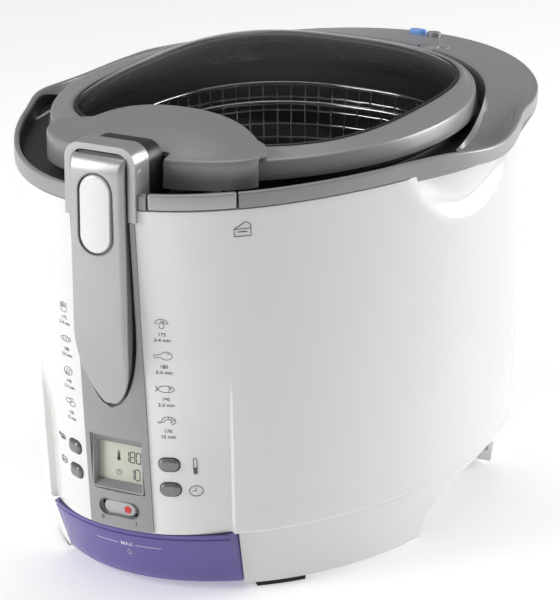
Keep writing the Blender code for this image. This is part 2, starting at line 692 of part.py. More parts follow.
def make_display():
    """Bezel, window and display module, with the control board behind them."""
    border = DISPLAY_HALF_WIDTH + BEZEL_BORDER
    low, high = DISPLAY_LOW - 0.004, DISPLAY_HIGH + 0.004
    rings = []
    for z in (low, (low + high) / 2.0, high):
        stations = [-border, -border / 2, 0.0, border / 2, border]
        front = [(x, front_y(x, z, WALL + SLIP), z) for x in stations]
        back = [(x, BOARD_Y - GAP, z) for x in stations]
        rings.append(front + back[::-1])
    bezel = loft("display_bezel", rings, "grey")
    cut(bezel, display_cutter("bezel"))
    inner = DISPLAY_HALF_WIDTH - GAP
    window_y = -0.1762
    box("display_window", (-inner, window_y, DISPLAY_LOW + GAP), (inner, window_y + 0.0012, DISPLAY_HIGH - GAP),
        "lcd")
    box("display_module", (-inner, window_y + 0.0012 + GAP, DISPLAY_LOW + GAP),
        (inner, BOARD_Y - GAP, DISPLAY_HIGH - GAP), "black")
    board = box("control_board", (-BOARD_HALF_WIDTH, BOARD_Y, DISPLAY_LOW - 0.002),
                (BOARD_HALF_WIDTH, BOARD_Y + 0.0016, DISPLAY_HIGH + 0.012), "board")
    for name, x, z in button_places():
        fuse(board, box(f"tact_{name}", (x - 0.003, BOARD_Y - 0.0012, z - 0.003),
                        (x + 0.003, BOARD_Y + 0.0005, z + 0.003)))


def make_buttons():
    """Four push buttons and the power slider."""
    for name, x, z in button_places():
        outline = pill((x, z), BUTTON_HALF_WIDTH, BUTTON_HALF_HEIGHT, BUTTON_HALF_HEIGHT)
        plug(name, outline, lambda px, pz: front_y(px, pz, -BUTTON_PROUD),
             lambda px, pz: BOARD_Y - 0.0012 - BUTTON_TRAVEL - SLIP, "silver", (x, front_y(x, z), z))
    outline = pill((0.0, SWITCH_Z), SLIDER_HALF_LENGTH, SWITCH_HALF_HEIGHT - SLIP, SWITCH_HALF_HEIGHT)
    plug("power_slider", outline, lambda px, pz: front_y(px, pz, -STRIP_PROUD + 0.0006),
         lambda px, pz: -0.1745, "silver", (0.0, front_y(0.0, SWITCH_Z), SWITCH_Z))
    box("switch_block", (-0.0140, -0.1741, SWITCH_Z - 0.0055), (0.0140, -0.1630, SWITCH_Z + 0.0055), "black")


# ---------------------------------------------------------------- handle
def make_bracket():
    """Arched bracket on the front rim that carries the folding handle."""
    low = SHELL_TOP + 0.0008
    radius = 0.009
    side = BRACKET_HALF_WIDTH
    outline = [(-side, low), (side, low)]
    outline += [(side - radius + radius * math.cos(math.radians(a)),
                 BRACKET_TOP - radius + radius * math.sin(math.radians(a))) for a in range(0, 91, 15)]
    outline += [(-side + radius - radius * math.sin(math.radians(a)),
                 BRACKET_TOP - radius + radius * math.cos(math.radians(a))) for a in range(0, 91, 15)]
    bracket = prism("handle_bracket", outline, "y", BRACKET_FRONT, BRACKET_BACK, "silver")
    inner = side - BRACKET_LEG
    roof = HANDLE_PIVOT_Z + HANDLE_NOSE + SLIP
    cut(bracket, box("cut_bracket_pocket", (-inner, -0.25, 0.2190), (inner, BRACKET_BACK - 0.0040, roof)))
    cut(bracket, box("cut_bracket_floor", (-inner, -0.25, 0.20), (inner, HANDLE_PIVOT_Y + 0.0052, 0.2195)))
    cut(bracket, rod("cut_bracket_bore", "x", (HANDLE_PIVOT_Y, HANDLE_PIVOT_Z), HANDLE_PIN_RADIUS + GAP,
                     -0.03, 0.03, count=16))
    rod("handle_pin", "x", (HANDLE_PIVOT_Y, HANDLE_PIVOT_Z), HANDLE_PIN_RADIUS,
        -BRACKET_HALF_WIDTH + 0.0006, BRACKET_HALF_WIDTH - 0.0006, "steel", count=16)


def handle_width(z):
    """Half width of the handle at a height: a long blade with a round tip."""
    rise = min(max((z - HANDLE_TIP) / 0.0500, 0.0), 1.0)
    return HANDLE_HALF_WIDTH * math.sqrt(1.0 - (1.0 - rise) ** 2.4)


def handle_front(z):
    """Y of the handle's front face."""
    drop = max(0.0, (HANDLE_PIVOT_Z - z) / (HANDLE_PIVOT_Z - HANDLE_TIP))
    line = HANDLE_PIVOT_Y - HANDLE_NOSE + 0.0020 * drop
    return line + 0.0105 * smooth((HANDLE_TIP + 0.045 - z) / 0.045) ** 1.3


def handle_back(z):
    """Y of the handle's back face."""
    return HANDLE_PIVOT_Y + 0.0024 + 0.0022 * smooth((0.165 - z) / 0.060)


def handle_rings(lower, upper, half_width_trim):
    """Sections of one handle layer between two surfaces, from the tip to the round nose."""
    span = HANDLE_PIVOT_Z - HANDLE_TIP
    levels = [HANDLE_TIP + span * share for share in (0.012, 0.035, 0.08, 0.15, 0.25, 0.38, 0.6, 0.8, 0.93)]
    rings = []
    for z in levels:
        half = handle_width(z) - half_width_trim
        front, back = lower(z), upper(z)
        rings.append([(x, y, z) for x, y in rounded_box(half, front, back)])
    return rings


def rounded_box(half, front, back):
    """Section with rounded long edges, as points in x and y."""
    radius = min(0.0025, 0.45 * (back - front), 0.9 * half)
    middle = ((0.0, (front + back) / 2.0), half, (back - front) / 2.0)
    return pill(middle[0], middle[1], middle[2], radius, steps=2)


def make_handle():
    """Two-layer folding handle with the release button let into its front."""
    split_shift = HANDLE_LAYER

    def front_layer_back(z):
        return handle_front(z) + min(split_shift, 0.5 * (handle_back(z) - handle_front(z)))

    def back_layer_front(z):
        return front_layer_back(z) + GAP

    pivot = (0.0, HANDLE_PIVOT_Y, HANDLE_PIVOT_Z)
    shell_rings = handle_rings(handle_front, front_layer_back, 0.0)
    core_rings = handle_rings(back_layer_front, handle_back, 0.0006)
    for angle in (-50, -32, -12, 8, 28, 46, 62, 74):
        z = HANDLE_PIVOT_Z + HANDLE_NOSE * math.sin(math.radians(angle))
        reach = HANDLE_NOSE * math.cos(math.radians(angle))
        front = HANDLE_PIVOT_Y - (HANDLE_NOSE if angle < 0 else reach)
        split = HANDLE_PIVOT_Y - HANDLE_NOSE + HANDLE_LAYER
        if front < split - 0.001:
            shell_rings.append([(x, y, z) for x, y in rounded_box(HANDLE_HALF_WIDTH, front, split)])
        core_front = max(split + GAP, front)
        core_rings.append([(x, y, z) for x, y in
                           rounded_box(HANDLE_HALF_WIDTH - 0.0006, core_front, HANDLE_PIVOT_Y + reach)])
    cover = loft("handle_cover", shell_rings, "silver", origin=pivot)
    core = loft("handle_core", core_rings, "grey", origin=pivot)
    cut(core, rod("cut_handle_bore", "x", (HANDLE_PIVOT_Y, HANDLE_PIVOT_Z), HANDLE_PIN_RADIUS + GAP,
                  -0.03, 0.03, count=16))
    middle = (0.0, (RELEASE_LOW + RELEASE_HIGH) / 2.0)
    half_height = (RELEASE_HIGH - RELEASE_LOW) / 2.0
    floor = HANDLE_PIVOT_Y - HANDLE_NOSE + 0.0044
    recess = pill(middle, RELEASE_HALF_WIDTH + GAP, half_height + GAP, RELEASE_HALF_WIDTH + GAP, steps=6)
    cut(cover, prism("cut_release", recess, "y", -0.22, floor))
    body = pill(middle, RELEASE_HALF_WIDTH, half_height, RELEASE_HALF_WIDTH, steps=6)
    prism("handle_release", body, "y", HANDLE_PIVOT_Y - HANDLE_NOSE - 0.0005, floor - RELEASE_TRAVEL - GAP,
          "pale", origin=(0.0, floor, middle[1]))


def bar_piece(name, proud, depth, slack, material):
    """Curved block of the rim band, used for the release bar and its pocket."""
    start = math.degrees(math.asin((BAR_X[0] - slack) / BODY_HALF_WIDTH))
    end = math.degrees(math.asin((BAR_X[1] + slack) / BODY_HALF_WIDTH))
    angles = [start + (end - start) * i / 8 for i in range(9)]
    rings = []
    low, high = (SHELL_TOP + GAP, BAND_TOP) if material else (SHELL_TOP - 0.001, BAND_TOP + 0.005)
    for z in (low, high):
        outer = oval(BODY_HALF_WIDTH, BODY_HALF_DEPTH, 0.0, z, angles=angles, push=-proud)
        inner = oval(BODY_HALF_WIDTH, BODY_HALF_DEPTH, 0.0, z, angles=angles, push=-depth)
        rings.append(outer + inner[::-1])
    return loft(name, rings, material)


HOOK_X = (0.039, 0.047)
HOOK_Y = (-0.1545, -0.1520)
HOOK_NOSE = 0.003


def make_latch():
    """Release bar in the rim, its latch arm and the hook that hangs from the lid."""
    bar_piece("lid_release_bar", 0.0002, BAR_THICKNESS, 0.0, "silver")
    middle = (HOOK_X[0] + HOOK_X[1]) / 2.0
    heel = -BODY_HALF_DEPTH * math.sqrt(1.0 - (middle / BODY_HALF_WIDTH) ** 2) + BAR_THICKNESS + 0.0030
    box("latch_arm", (HOOK_X[0], heel, SHELL_TOP + 0.001), (HOOK_X[1], HOOK_Y[0] - HOOK_NOSE - SLIP - 0.0025,
                                                         BAND_TOP - DECK_WALL - 0.0008), "steel")
    root = COVER_EDGE_Z - COVER_WALL + 0.0001
    outline = [(HOOK_Y[0], root), (HOOK_Y[0], 0.2142), (HOOK_Y[0] - HOOK_NOSE, 0.2142),
               (HOOK_Y[0] - HOOK_NOSE, 0.2122), (HOOK_Y[0], 0.2100), (HOOK_Y[1], 0.2100),
               (HOOK_Y[1], root)]
    prism("lid_hook", outline, "x", *HOOK_X, "steel")


# ---------------------------------------------------------------- lid
LID_POWER = 2.8
SEAL_OUT = 0.0045                # the seal lies on the pot's rim


def lid_oval(inset, z):
    """Ring of the lid's round outside."""
    return oval(LID_HALF_WIDTH - inset, LID_HALF_DEPTH - inset, LID_CENTRE_Y, z, angles=COARSE)


def window_oval(scale, z, trim=0.0):
    """Ring of the window's outline."""
    return oval((WINDOW_HALF_WIDTH - trim) * scale, (WINDOW_HALF_DEPTH - trim) * scale, WINDOW_CENTRE_Y, z,
                power=LID_POWER, angles=COARSE)


def make_lid_ring():
    """Grey outer ring of the lid."""
    rings = [lid_oval(0.0, LID_BOTTOM), lid_oval(0.0012, LID_BOTTOM + 0.006), lid_oval(0.0035, LID_TOP - 0.003),
             lid_oval(0.009, LID_TOP - 0.0004), window_oval(1.0, LID_TOP, -0.002),
             window_oval(1.0, LID_TOP - 0.0006, -0.0004),
             window_oval(1.0, LID_TOP - 0.0034, -0.0004), lid_oval(0.009, LID_TOP - 0.0055),
             lid_oval(0.0030, LID_BOTTOM + 0.0055), lid_oval(0.0025, LID_BOTTOM)]
    ring = loft("lid_ring", rings, "grey", closed=True)
    for side in (-1, 1):
        reach = HINGE_ARM_WIDTH / 2 + SLIP
        cut(ring, box(f"cut_lid_slot_{side}", (side * HINGE_ARM_X - reach, 0.09, LID_BOTTOM - 0.002),
                      (side * HINGE_ARM_X + reach, 0.15, LID_BOTTOM + 0.0053)))


def dome_z(scale):
    """Height of the window's outside at a share of its outline."""
    return LID_TOP - 0.0004 + WINDOW_DOME * (1.0 - scale ** 4)


def make_window():
    """Domed clear window."""
    scales = (1.0, 0.93, 0.80, 0.58, 0.30)
    rings = [window_oval(s, dome_z(s) - WINDOW_THICKNESS, 0.0012 * s) for s in reversed(scales)]
    rings += [window_oval(1.0, LID_TOP - 0.0030, 0.0), window_oval(1.0, LID_TOP - 0.0004, 0.0)]
    rings += [window_oval(s, dome_z(s)) for s in scales[1:]]
    loft("lid_window", rings, "smoked")


def make_lid_liner():
    """Inner ring that holds the window and carries the seal."""
    top = LID_TOP - 0.0086
    foot = LID_BOTTOM - 0.0014
    rings = [window_oval(1.0, LID_TOP - 0.0036, 0.0030), window_oval(1.0, LID_TOP - 0.0066, -0.0010),
             lid_oval(0.0085, top), lid_oval(0.0075, foot), lid_oval(0.0110, foot), lid_oval(0.0110, top - 0.002),
             window_oval(1.0, LID_TOP - 0.0074, 0.0030)]
    liner = loft("lid_liner", rings, "steel", closed=True)
    cut(liner, box("cut_liner_guide", (-GUIDE_HALF - 0.001, -0.2, foot - 0.002), (GUIDE_HALF + 0.001, -0.1, foot + 0.0022)))
    low = POT_RIM_TOP + GAP
    seal_rings = [lid_oval(0.0080, low), lid_oval(0.0080, foot - GAP), lid_oval(0.0112, foot - GAP),
                  lid_oval(0.0112, low)]
    seal = loft("lid_seal", seal_rings, "rubber", closed=True)
    cut(seal, box("cut_seal_guide", (-GUIDE_HALF - 0.001, -0.2, low - 0.002), (GUIDE_HALF + 0.001, -0.1, 0.24)))


def support_z(x, y):
    """Top of the ring or the window at a place."""
    scale = ((abs(x) / WINDOW_HALF_WIDTH) ** LID_POWER
             + (abs(y - WINDOW_CENTRE_Y) / WINDOW_HALF_DEPTH) ** LID_POWER) ** (1.0 / LID_POWER)
    return dome_z(scale) if scale < 1.0 else LID_TOP


def make_lid_cover():
    """Crowned cover over the front of the lid, notched round the handle's bracket."""
    made = bmesh.new()
    rows = []
    columns = [i / 10.0 for i in range(-10, 11)]
    for column in columns:
        x = COVER_HALF_WIDTH * column
        edge = COVER_CORNER_Y + (COVER_FRONT - COVER_CORNER_Y) * (1.0 - abs(column) ** 2.6) ** 0.7
        arc = COVER_CORNER_Y + 0.002 + (COVER_APEX_Y - COVER_CORNER_Y - 0.002) * math.sqrt(1.0 - column ** 2)
        arc_z = max(COVER_EDGE_Z - 0.0005, support_z(x, arc) + 0.0005 + COVER_WALL)
        line = [(x, edge, LID_BOTTOM - 0.0005), (x, edge - 0.0005, COVER_EDGE_Z - 0.004),
                (x, edge + 0.0022, COVER_EDGE_Z)]
        for share in (0.2, 0.4, 0.6, 0.8, 1.0):
            y = edge + 0.0022 + (arc - edge - 0.0022) * share
            z = COVER_EDGE_Z + (arc_z - COVER_EDGE_Z) * share + 0.0035 * math.sin(math.pi * share) * (
                1.0 - column ** 2)
            line.append((x, y, z))
        rows.append([made.verts.new(point) for point in line])
    for left, right in zip(rows, rows[1:]):
        for i in range(len(left) - 1):
            made.faces.new((left[i], right[i], right[i + 1], left[i + 1]))
    cover = add_object("lid_cover", made, "grey")
    wall = cover.modifiers.new("wall", "SOLIDIFY")
    wall.thickness = COVER_WALL
    wall.offset = -1.0
    wall.use_even_offset = False
    cut(cover, box("cut_cover_notch", (-BRACKET_HALF_WIDTH - 0.0008, -0.25, 0.20),
                   (BRACKET_HALF_WIDTH + 0.0008, BRACKET_BACK + 0.0012, 0.27)))


def make_hinge():
    """Two lid arms on their pins at the rear deck."""
    hub = 0.0055
    for name, side in (("left", -1), ("right", 1)):
        x = side * HINGE_ARM_X
        front = HINGE_Y - 0.0146
        top = LID_BOTTOM + 0.0050
        outline = [(front, LID_BOTTOM + 0.0003), (HINGE_Y - 0.001, LID_BOTTOM + 0.0003)]
        outline += [(HINGE_Y + hub * math.sin(math.radians(a)), HINGE_Z - hub * math.cos(math.radians(a)))
                    for a in range(30, 271, 20)]
        outline += [(HINGE_Y - hub - 0.0006, top), (front, top)]
        arm = prism(f"hinge_arm_{name}", outline, "x", x - HINGE_ARM_WIDTH / 2, x + HINGE_ARM_WIDTH / 2, "grey",
                    origin=(x, HINGE_Y, HINGE_Z))
        cut(arm, rod(f"cut_arm_{name}", "x", (HINGE_Y, HINGE_Z), HINGE_PIN_RADIUS + GAP, -0.06, 0.06, count=16))
        reach = HINGE_ARM_WIDTH / 2 + SLIP + 0.0035
        rod(f"hinge_pin_{name}", "x", (HINGE_Y, HINGE_Z), HINGE_PIN_RADIUS, x - reach, x + reach, "steel", count=16)


# ---------------------------------------------------------------- basket and tray
GUIDE_HALF = 0.014


def basket_ring(z, inset=0.0):
    """Ring of the basket's outside."""
    share = (BASKET_TOP - z) / BASKET_DEPTH
    draw = BASKET_MARGIN + BASKET_TAPER * share + inset
    return oval(POT_HALF_WIDTH - draw, POT_HALF_DEPTH - draw - 0.0025, WINDOW_CENTRE_Y, z, power=BASKET_POWER,
                angles=COARSE)


def make_basket():
    """Basket tub, its hanger and the fixed guide that the hanger runs on."""
    low = BASKET_TOP - BASKET_DEPTH
    wall = BASKET_WALL
    rings = [basket_ring(low, 0.004), basket_ring(low + 0.004), basket_ring(BASKET_TOP),
             basket_ring(BASKET_TOP, wall), basket_ring(low + 0.005, wall), basket_ring(low + wall, 0.005 + wall)]
    loft("basket", rings, "chrome")
    front = min(point[1] for point in basket_ring(BASKET_TOP))
    hanger_back = front - GAP
    box("basket_hanger", (-0.010, hanger_back - 0.002, BASKET_TOP - 0.030), (0.010, hanger_back, BASKET_TOP + 0.002),
        "steel")
    guide_back = hanger_back - 0.002 - 0.0005
    guide_low, plate_low = 0.190, POT_RIM_TOP + GAP
    outline = [(guide_back, guide_low), (guide_back, plate_low + 0.0016), (BRACKET_BACK + SLIP, plate_low + 0.0016),
               (BRACKET_BACK + SLIP, plate_low), (guide_back - 0.0016, plate_low), (guide_back - 0.0016, guide_low)]
    prism("basket_guide", outline, "x", -GUIDE_HALF, GUIDE_HALF, "steel")


def tray_outline(z, inset):
    """Plan of the water tray: a curved front and a straight body."""
    share = z / SHELL_BOTTOM
    half_width = FOOT_HALF_WIDTH + (body_size(SHELL_BOTTOM)[0] - FOOT_HALF_WIDTH) * share
    half_depth = FOOT_HALF_DEPTH + (body_size(SHELL_BOTTOM)[1] - FOOT_HALF_DEPTH) * share - TRAY_SINK - inset
    side = TRAY_HALF_WIDTH - inset
    points = []
    for i in range(13):
        x = side * (i - 6) / 6.0
        points.append((x, -half_depth * math.sqrt(1.0 - (x / half_width) ** 2), z))
    narrow = side - 0.004
    points += [(side, -0.118, z), (narrow, -0.112, z), (narrow, TRAY_REAR - inset, z),
               (-narrow, TRAY_REAR - inset, z), (-narrow, -0.112, z), (-side, -0.118, z)]
    return points


def make_tray():
    """Pull-out water tray and its two runners under the floor."""
    rings = [tray_outline(TRAY_BOTTOM, 0.001), tray_outline(TRAY_BOTTOM + 0.001, 0.0),
             tray_outline(0.020, 0.0), tray_outline(TRAY_TOP, 0.0), tray_outline(TRAY_TOP, TRAY_WALL),
             tray_outline(0.020, TRAY_WALL), tray_outline(TRAY_BOTTOM + TRAY_WALL, TRAY_WALL)]
    loft("water_tray", rings, "violet")
    inner = TRAY_HALF_WIDTH - 0.004 + SLIP
    for name, side in (("left", -1), ("right", 1)):
        outline = [(side * inner, TRAY_BOTTOM - SLIP), (side * inner, FLOOR_LOW - GAP),
                   (side * (inner + 0.002), FLOOR_LOW - GAP), (side * (inner + 0.002), TRAY_BOTTOM - 0.0016),
                   (side * (inner - 0.006), TRAY_BOTTOM - 0.0016), (side * (inner - 0.006), TRAY_BOTTOM - SLIP)]
        prism(f"tray_runner_{name}", outline, "y", -0.110, TRAY_REAR + 0.010, "white")


def main():
    """Build every piece of the fryer."""
    clear_scene()
    make_base_skirt()
    make_feet()
    make_base_screws()
    make_shell()
    make_collar()
    make_deck_pieces()
    make_pot()
    make_heat_shield()
    make_heater()
    make_services()
    make_strip()
    make_display()
    make_buttons()
    make_bracket()
    make_handle()
    make_latch()
    make_lid_ring()
    make_window()
    make_lid_liner()
    make_lid_cover()
    make_hinge()
    make_basket()
    make_tray()


main()
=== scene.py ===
"""Looks of a household deep fryer: window lid, folding handle, wire basket and water tray."""
import json
import logging
import math
from dataclasses import dataclass, field
from enum import Enum
from typing import Callable, Iterable, Sequence

import bmesh
import bpy
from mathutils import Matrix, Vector


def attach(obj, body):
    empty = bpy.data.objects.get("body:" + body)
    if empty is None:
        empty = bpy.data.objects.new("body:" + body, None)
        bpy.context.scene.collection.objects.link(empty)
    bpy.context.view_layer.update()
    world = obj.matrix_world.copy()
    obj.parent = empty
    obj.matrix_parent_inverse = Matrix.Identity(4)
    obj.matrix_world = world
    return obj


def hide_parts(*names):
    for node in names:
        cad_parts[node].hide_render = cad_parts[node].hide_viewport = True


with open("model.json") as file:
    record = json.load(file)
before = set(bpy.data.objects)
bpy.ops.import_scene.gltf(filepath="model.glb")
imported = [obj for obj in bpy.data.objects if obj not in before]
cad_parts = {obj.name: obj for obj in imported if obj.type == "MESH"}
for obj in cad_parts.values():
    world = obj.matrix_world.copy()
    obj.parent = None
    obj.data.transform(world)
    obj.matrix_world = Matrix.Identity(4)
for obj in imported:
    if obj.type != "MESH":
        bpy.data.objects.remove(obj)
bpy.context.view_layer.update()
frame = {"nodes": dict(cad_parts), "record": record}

LOG = logging.getLogger("fryer")
Point = tuple[float, float, float]
Flat = tuple[float, float]


# ---------------------------------------------------------------- numbers and curves
def ease(value: float) -> float:
    """Smooth step from 0 to 1."""
    value = min(max(value, 0.0), 1.0)
    return value * value * (3.0 - 2.0 * value)


def mix(low: float, high: float, share: float) -> float:
    """Straight blend of two numbers."""
    return low + (high - low) * share


def side_angle(angle: float) -> float:
    """Angle from the front, 0 to 180 degrees on either side."""
    angle = angle % 360.0
    return min(angle, 360.0 - angle)


def even_angles(count: int) -> list[float]:
    """Angles of an even ring, from the front round by +X."""
    return [360.0 * i / count for i in range(count)]


def oval(half_width: float, half_depth: float, centre_y: float, height: float | Callable[[float], float],
         power: float = 2.0, angles: Sequence[float] = (),
         push: float | Callable[[float, float, float], float] = 0.0) -> list[Vector]:
    """Superellipse ring whose height and outward push may change round it.

    Args:
        half_width: reach along X.
        half_depth: reach along Y.
        centre_y: middle of the ring.
        height: Z, or a function of the angle.
        power: 2 is an ellipse, more is squarer.
        angles: degrees from the front.
        push: move along the outline's normal, or a function of angle, x and z.

    Returns:
        The ring's points.
    """
    ring = []
    for angle in angles:
        sine, cosine = math.sin(math.radians(angle)), math.cos(math.radians(angle))
        x = half_width * math.copysign(abs(sine) ** (2.0 / power), sine)
        y = -half_depth * math.copysign(abs(cosine) ** (2.0 / power), cosine)
        z = height(angle) if callable(height) else height
        normal = Vector((x / half_width ** 2, y / half_depth ** 2)).normalized()
        amount = push(angle, x, z) if callable(push) else push
        ring.append(Vector((x + normal.x * amount, y + centre_y + normal.y * amount, z)))
    return ring


def blend_rings(first: Sequence[Vector], second: Sequence[Vector], share: float, height: float | None = None
                ) -> list[Vector]:
    """Ring between two rings, at a height of its own if one is given."""
    ring = [a.lerp(b, share) for a, b in zip(first, second)]
    if height is not None:
        for point in ring:
            point.z = height
    return ring


def quarter(radius: float, steps: int = 5) -> list[Flat]:
    """Inset and drop of the points round a convex edge, from its side to its top."""
    turns = [math.pi / 2.0 * i / steps for i in range(steps + 1)]
    return [(radius * (1.0 - math.cos(turn)), radius * (1.0 - math.sin(turn))) for turn in turns]


def pill(centre: Flat, half_length: float, half_height: float, radius: float, steps: int = 8) -> list[Flat]:
    """Rounded rectangle in a plane, long along its first axis."""
    radius = min(radius, half_length, half_height)
    points = []
    for corner, (along, up) in enumerate(((1, 1), (-1, 1), (-1, -1), (1, -1))):
        for i in range(steps + 1):
            turn = math.radians(90.0 * (corner + i / steps))
            points.append((centre[0] + along * (half_length - radius) + radius * math.cos(turn),
                           centre[1] + up * (half_height - radius) + radius * math.sin(turn)))
    return points


# ---------------------------------------------------------------- form shared by the pieces
@dataclass(frozen=True)
class BodyForm:
    """Outline of the body, the same as the frame's own pieces."""

    half_width: float = 0.134
    half_depth: float = 0.195
    taper_width: float = 0.0107
    taper_depth: float = 0.0163
    shell_bottom: float = 0.0372
    shell_top: float = 0.2222
    band_top: float = 0.2233
    pinch_range: Flat = (0.0023, 0.0058)
    lip_dip: float = 0.0045
    panel_half_angle: float = 27.7
    panel_step: float = 0.0045
    panel_flat: float = 0.022
    panel_top: float = 0.130
    grip_middle: float = 83.0
    grip_reach: float = 17.0
    grip_scoop: float = 0.0055
    grip_depth: float = 0.033

    def size(self, z: float) -> Flat:
        """Half width and half depth of the shell at a height."""
        share = (self.band_top - z) / (self.band_top - self.shell_bottom)
        return self.half_width - self.taper_width * share, self.half_depth - self.taper_depth * share

    def lip_share(self, angle: float, start: float = 64.0, end: float = 106.0) -> float:
        """0 away from the side lips, 1 in the middle of one."""
        share = (side_angle(angle) - start) / (end - start)
        return math.sin(math.pi * share) ** 2 if 0.0 < share < 1.0 else 0.0

    def pinch(self, angle: float, z: float) -> float:
        """How far the front corners stand inside the plain oval."""
        share = (side_angle(angle) - 5.0) / 90.0
        if not 0.0 < share < 1.0:
            return 0.0
        rise = (z - self.shell_bottom) / (self.shell_top - self.shell_bottom)
        return mix(*self.pinch_range, rise) * math.sin(math.pi * share) ** 2

    def dip(self, angle: float) -> float:
        """How far the rim comes down at the side lips."""
        return self.lip_dip * self.lip_share(angle, 72.0, 110.0)

    def panel_inset(self, angle: float, x: float, z: float) -> float:
        """How far the front panel stands inside the body's outline."""
        over = side_angle(angle) - self.panel_half_angle
        if over > 0.5:
            return 0.0
        fade = ease((self.panel_top - z) / 0.05)
        reach = self.half_width * math.sin(math.radians(self.panel_half_angle)) - self.panel_flat
        turn = min(max((abs(x) - self.panel_flat) / reach, 0.0), 1.0) ** 1.6
        return self.panel_step * fade * turn * (1.0 - ease(over / 0.5))

    def grip_inset(self, angle: float, z: float) -> float:
        """Depth of the pointed hollow under a side lip."""
        over = (side_angle(angle) - self.grip_middle) / self.grip_reach
        low = self.shell_top - self.grip_depth * (1.0 - over * over)
        if abs(over) >= 1.0 or z <= low:
            return 0.0
        return self.grip_scoop * (1.0 - over ** 4) * min((z - low) / 0.016, 1.0) ** 0.65

    def ring(self, z: float, inset: float, angles: Sequence[float]) -> list[Vector]:
        """Ring of the shell's surface, moved inwards."""
        half_width, half_depth = self.size(z)

        def push(angle: float, x: float, height: float) -> float:
            return -(inset + self.panel_inset(angle, x, height) + self.grip_inset(angle, height)
                     + self.pinch(angle, height))
        made = oval(half_width, half_depth, 0.0, z, angles=angles, push=push)
        for angle, point in zip(angles, made):
            point.z -= self.dip(angle) * max((z - 0.190) / (self.shell_top - 0.190), 0.0)
        return made

    def front_y(self, x: float, z: float, inset: float = 0.0) -> float:
        """Y of the front surface at a place, moved inwards."""
        half_width, half_depth = self.size(z)
        root = math.sqrt(1.0 - (x / half_width) ** 2)
        slope = half_depth / half_width ** 2 * x / root
        away = self.panel_inset(0.0, x, z) + self.pinch(math.degrees(math.asin(x / half_width)), z) + inset
        return -half_depth * root + away * math.sqrt(1.0 + slope * slope)


FORM = BodyForm()


# ---------------------------------------------------------------- shader graphs
class Value:
    """A shader socket that takes part in sums."""

    def __init__(self, graph: "Graph", socket: bpy.types.NodeSocket) -> None:
        """Keep the socket with the graph it belongs to."""
        self.graph = graph
        self.socket = socket

    def _math(self, operation: str, first: "Value | float", second: "Value | float") -> "Value":
        """Add one Math node."""
        return self.graph.node("ShaderNodeMath", {"operation": operation}, {0: first, 1: second})

    def __add__(self, other: "Value | float") -> "Value":
        """Sum."""
        return self._math("ADD", self, other)

    __radd__ = __add__

    def __sub__(self, other: "Value | float") -> "Value":
        """Difference."""
        return self._math("SUBTRACT", self, other)

    def __rsub__(self, other: "Value | float") -> "Value":
        """Difference from a number."""
        return self._math("SUBTRACT", other, self)

    def __mul__(self, other: "Value | float") -> "Value":
        """Product."""
        return self._math("MULTIPLY", self, other)

    __rmul__ = __mul__

    def __pow__(self, other: float) -> "Value":
        """Power."""
        return self._math("POWER", self, other)

    def above(self, low: float, high: float) -> "Value":
        """0 below low, 1 over high, smooth between them."""
        return self.graph.node("ShaderNodeMapRange", {"interpolation_type": "SMOOTHSTEP"},
                               {"Value": self, "From Min": low, "From Max": high})


class Graph:
    """The nodes of one material round its Principled shader."""

    def __init__(self, name: str) -> None:
        """Start a material with its shader."""
        self.material = bpy.data.materials.new(name)
        self.material.use_nodes = True
        self.tree = self.material.node_tree
        self.shader = self.tree.nodes["Principled BSDF"]
        self.coordinates = self.tree.nodes.new("ShaderNodeTexCoord").outputs["Object"]

    def node(self, kind: str, settings: dict[str, object] | None = None,
             sockets: dict[str | int, object] | None = None, output: str | int = 0) -> Value:
        """Add a node.

        Args:
            kind: type of the node.
            settings: its own properties, set first.
            sockets: values or links of its inputs.
            output: which output is returned.

        Returns:
            The chosen output.
        """
        made = self.tree.nodes.new(kind)
        for key, value in (settings or {}).items():
            setattr(made, key, value)
        for key, value in (sockets or {}).items():
            self.feed(made.inputs[key], value)
        return Value(self, made.outputs[output])

    def feed(self, target: bpy.types.NodeSocket, value: object) -> None:
        """Set a socket to a number or colour, or link it."""
        if isinstance(value, Value):
            self.tree.links.new(value.socket, target)
        elif isinstance(value, bpy.types.NodeSocket):
            self.tree.links.new(value, target)
        else:
            target.default_value = value

    def set(self, **inputs: object) -> None:
        """Feed the shader's sockets; an underscore stands for a space."""
        for key, value in inputs.items():
            self.feed(self.shader.inputs[key.replace("_", " ")], value)

    def noise(self, scale: float, detail: float = 2.0, stretch: Point = (1.0, 1.0, 1.0)) -> Value:
        """Noise on the piece's own coordinates."""
        place = self.node("ShaderNodeMapping", None, {"Vector": self.coordinates, "Scale": stretch})
        return self.node("ShaderNodeTexNoise", None, {"Vector": place, "Scale": scale, "Detail": detail})

    def colours(self, first: Sequence[float], second: Sequence[float], share: Value) -> Value:
        """Blend of two colours."""
        return self.node("ShaderNodeMix", {"data_type": "RGBA"},
                         {0: share, 6: (*first, 1.0), 7: (*second, 1.0)}, 2)

    def bump(self, height: Value, strength: float, distance: float) -> None:
        """Feed the shader's normal from a height."""
        made = self.node("ShaderNodeBump", None, {"Strength": strength, "Distance": distance, "Height": height})
        self.feed(self.shader.inputs["Normal"], made)


def tint(colour: Point, amount: float) -> Point:
    """Colour made lighter or darker by a share."""
    return tuple(min(max(part * (1.0 + amount), 0.0), 1.0) for part in colour)


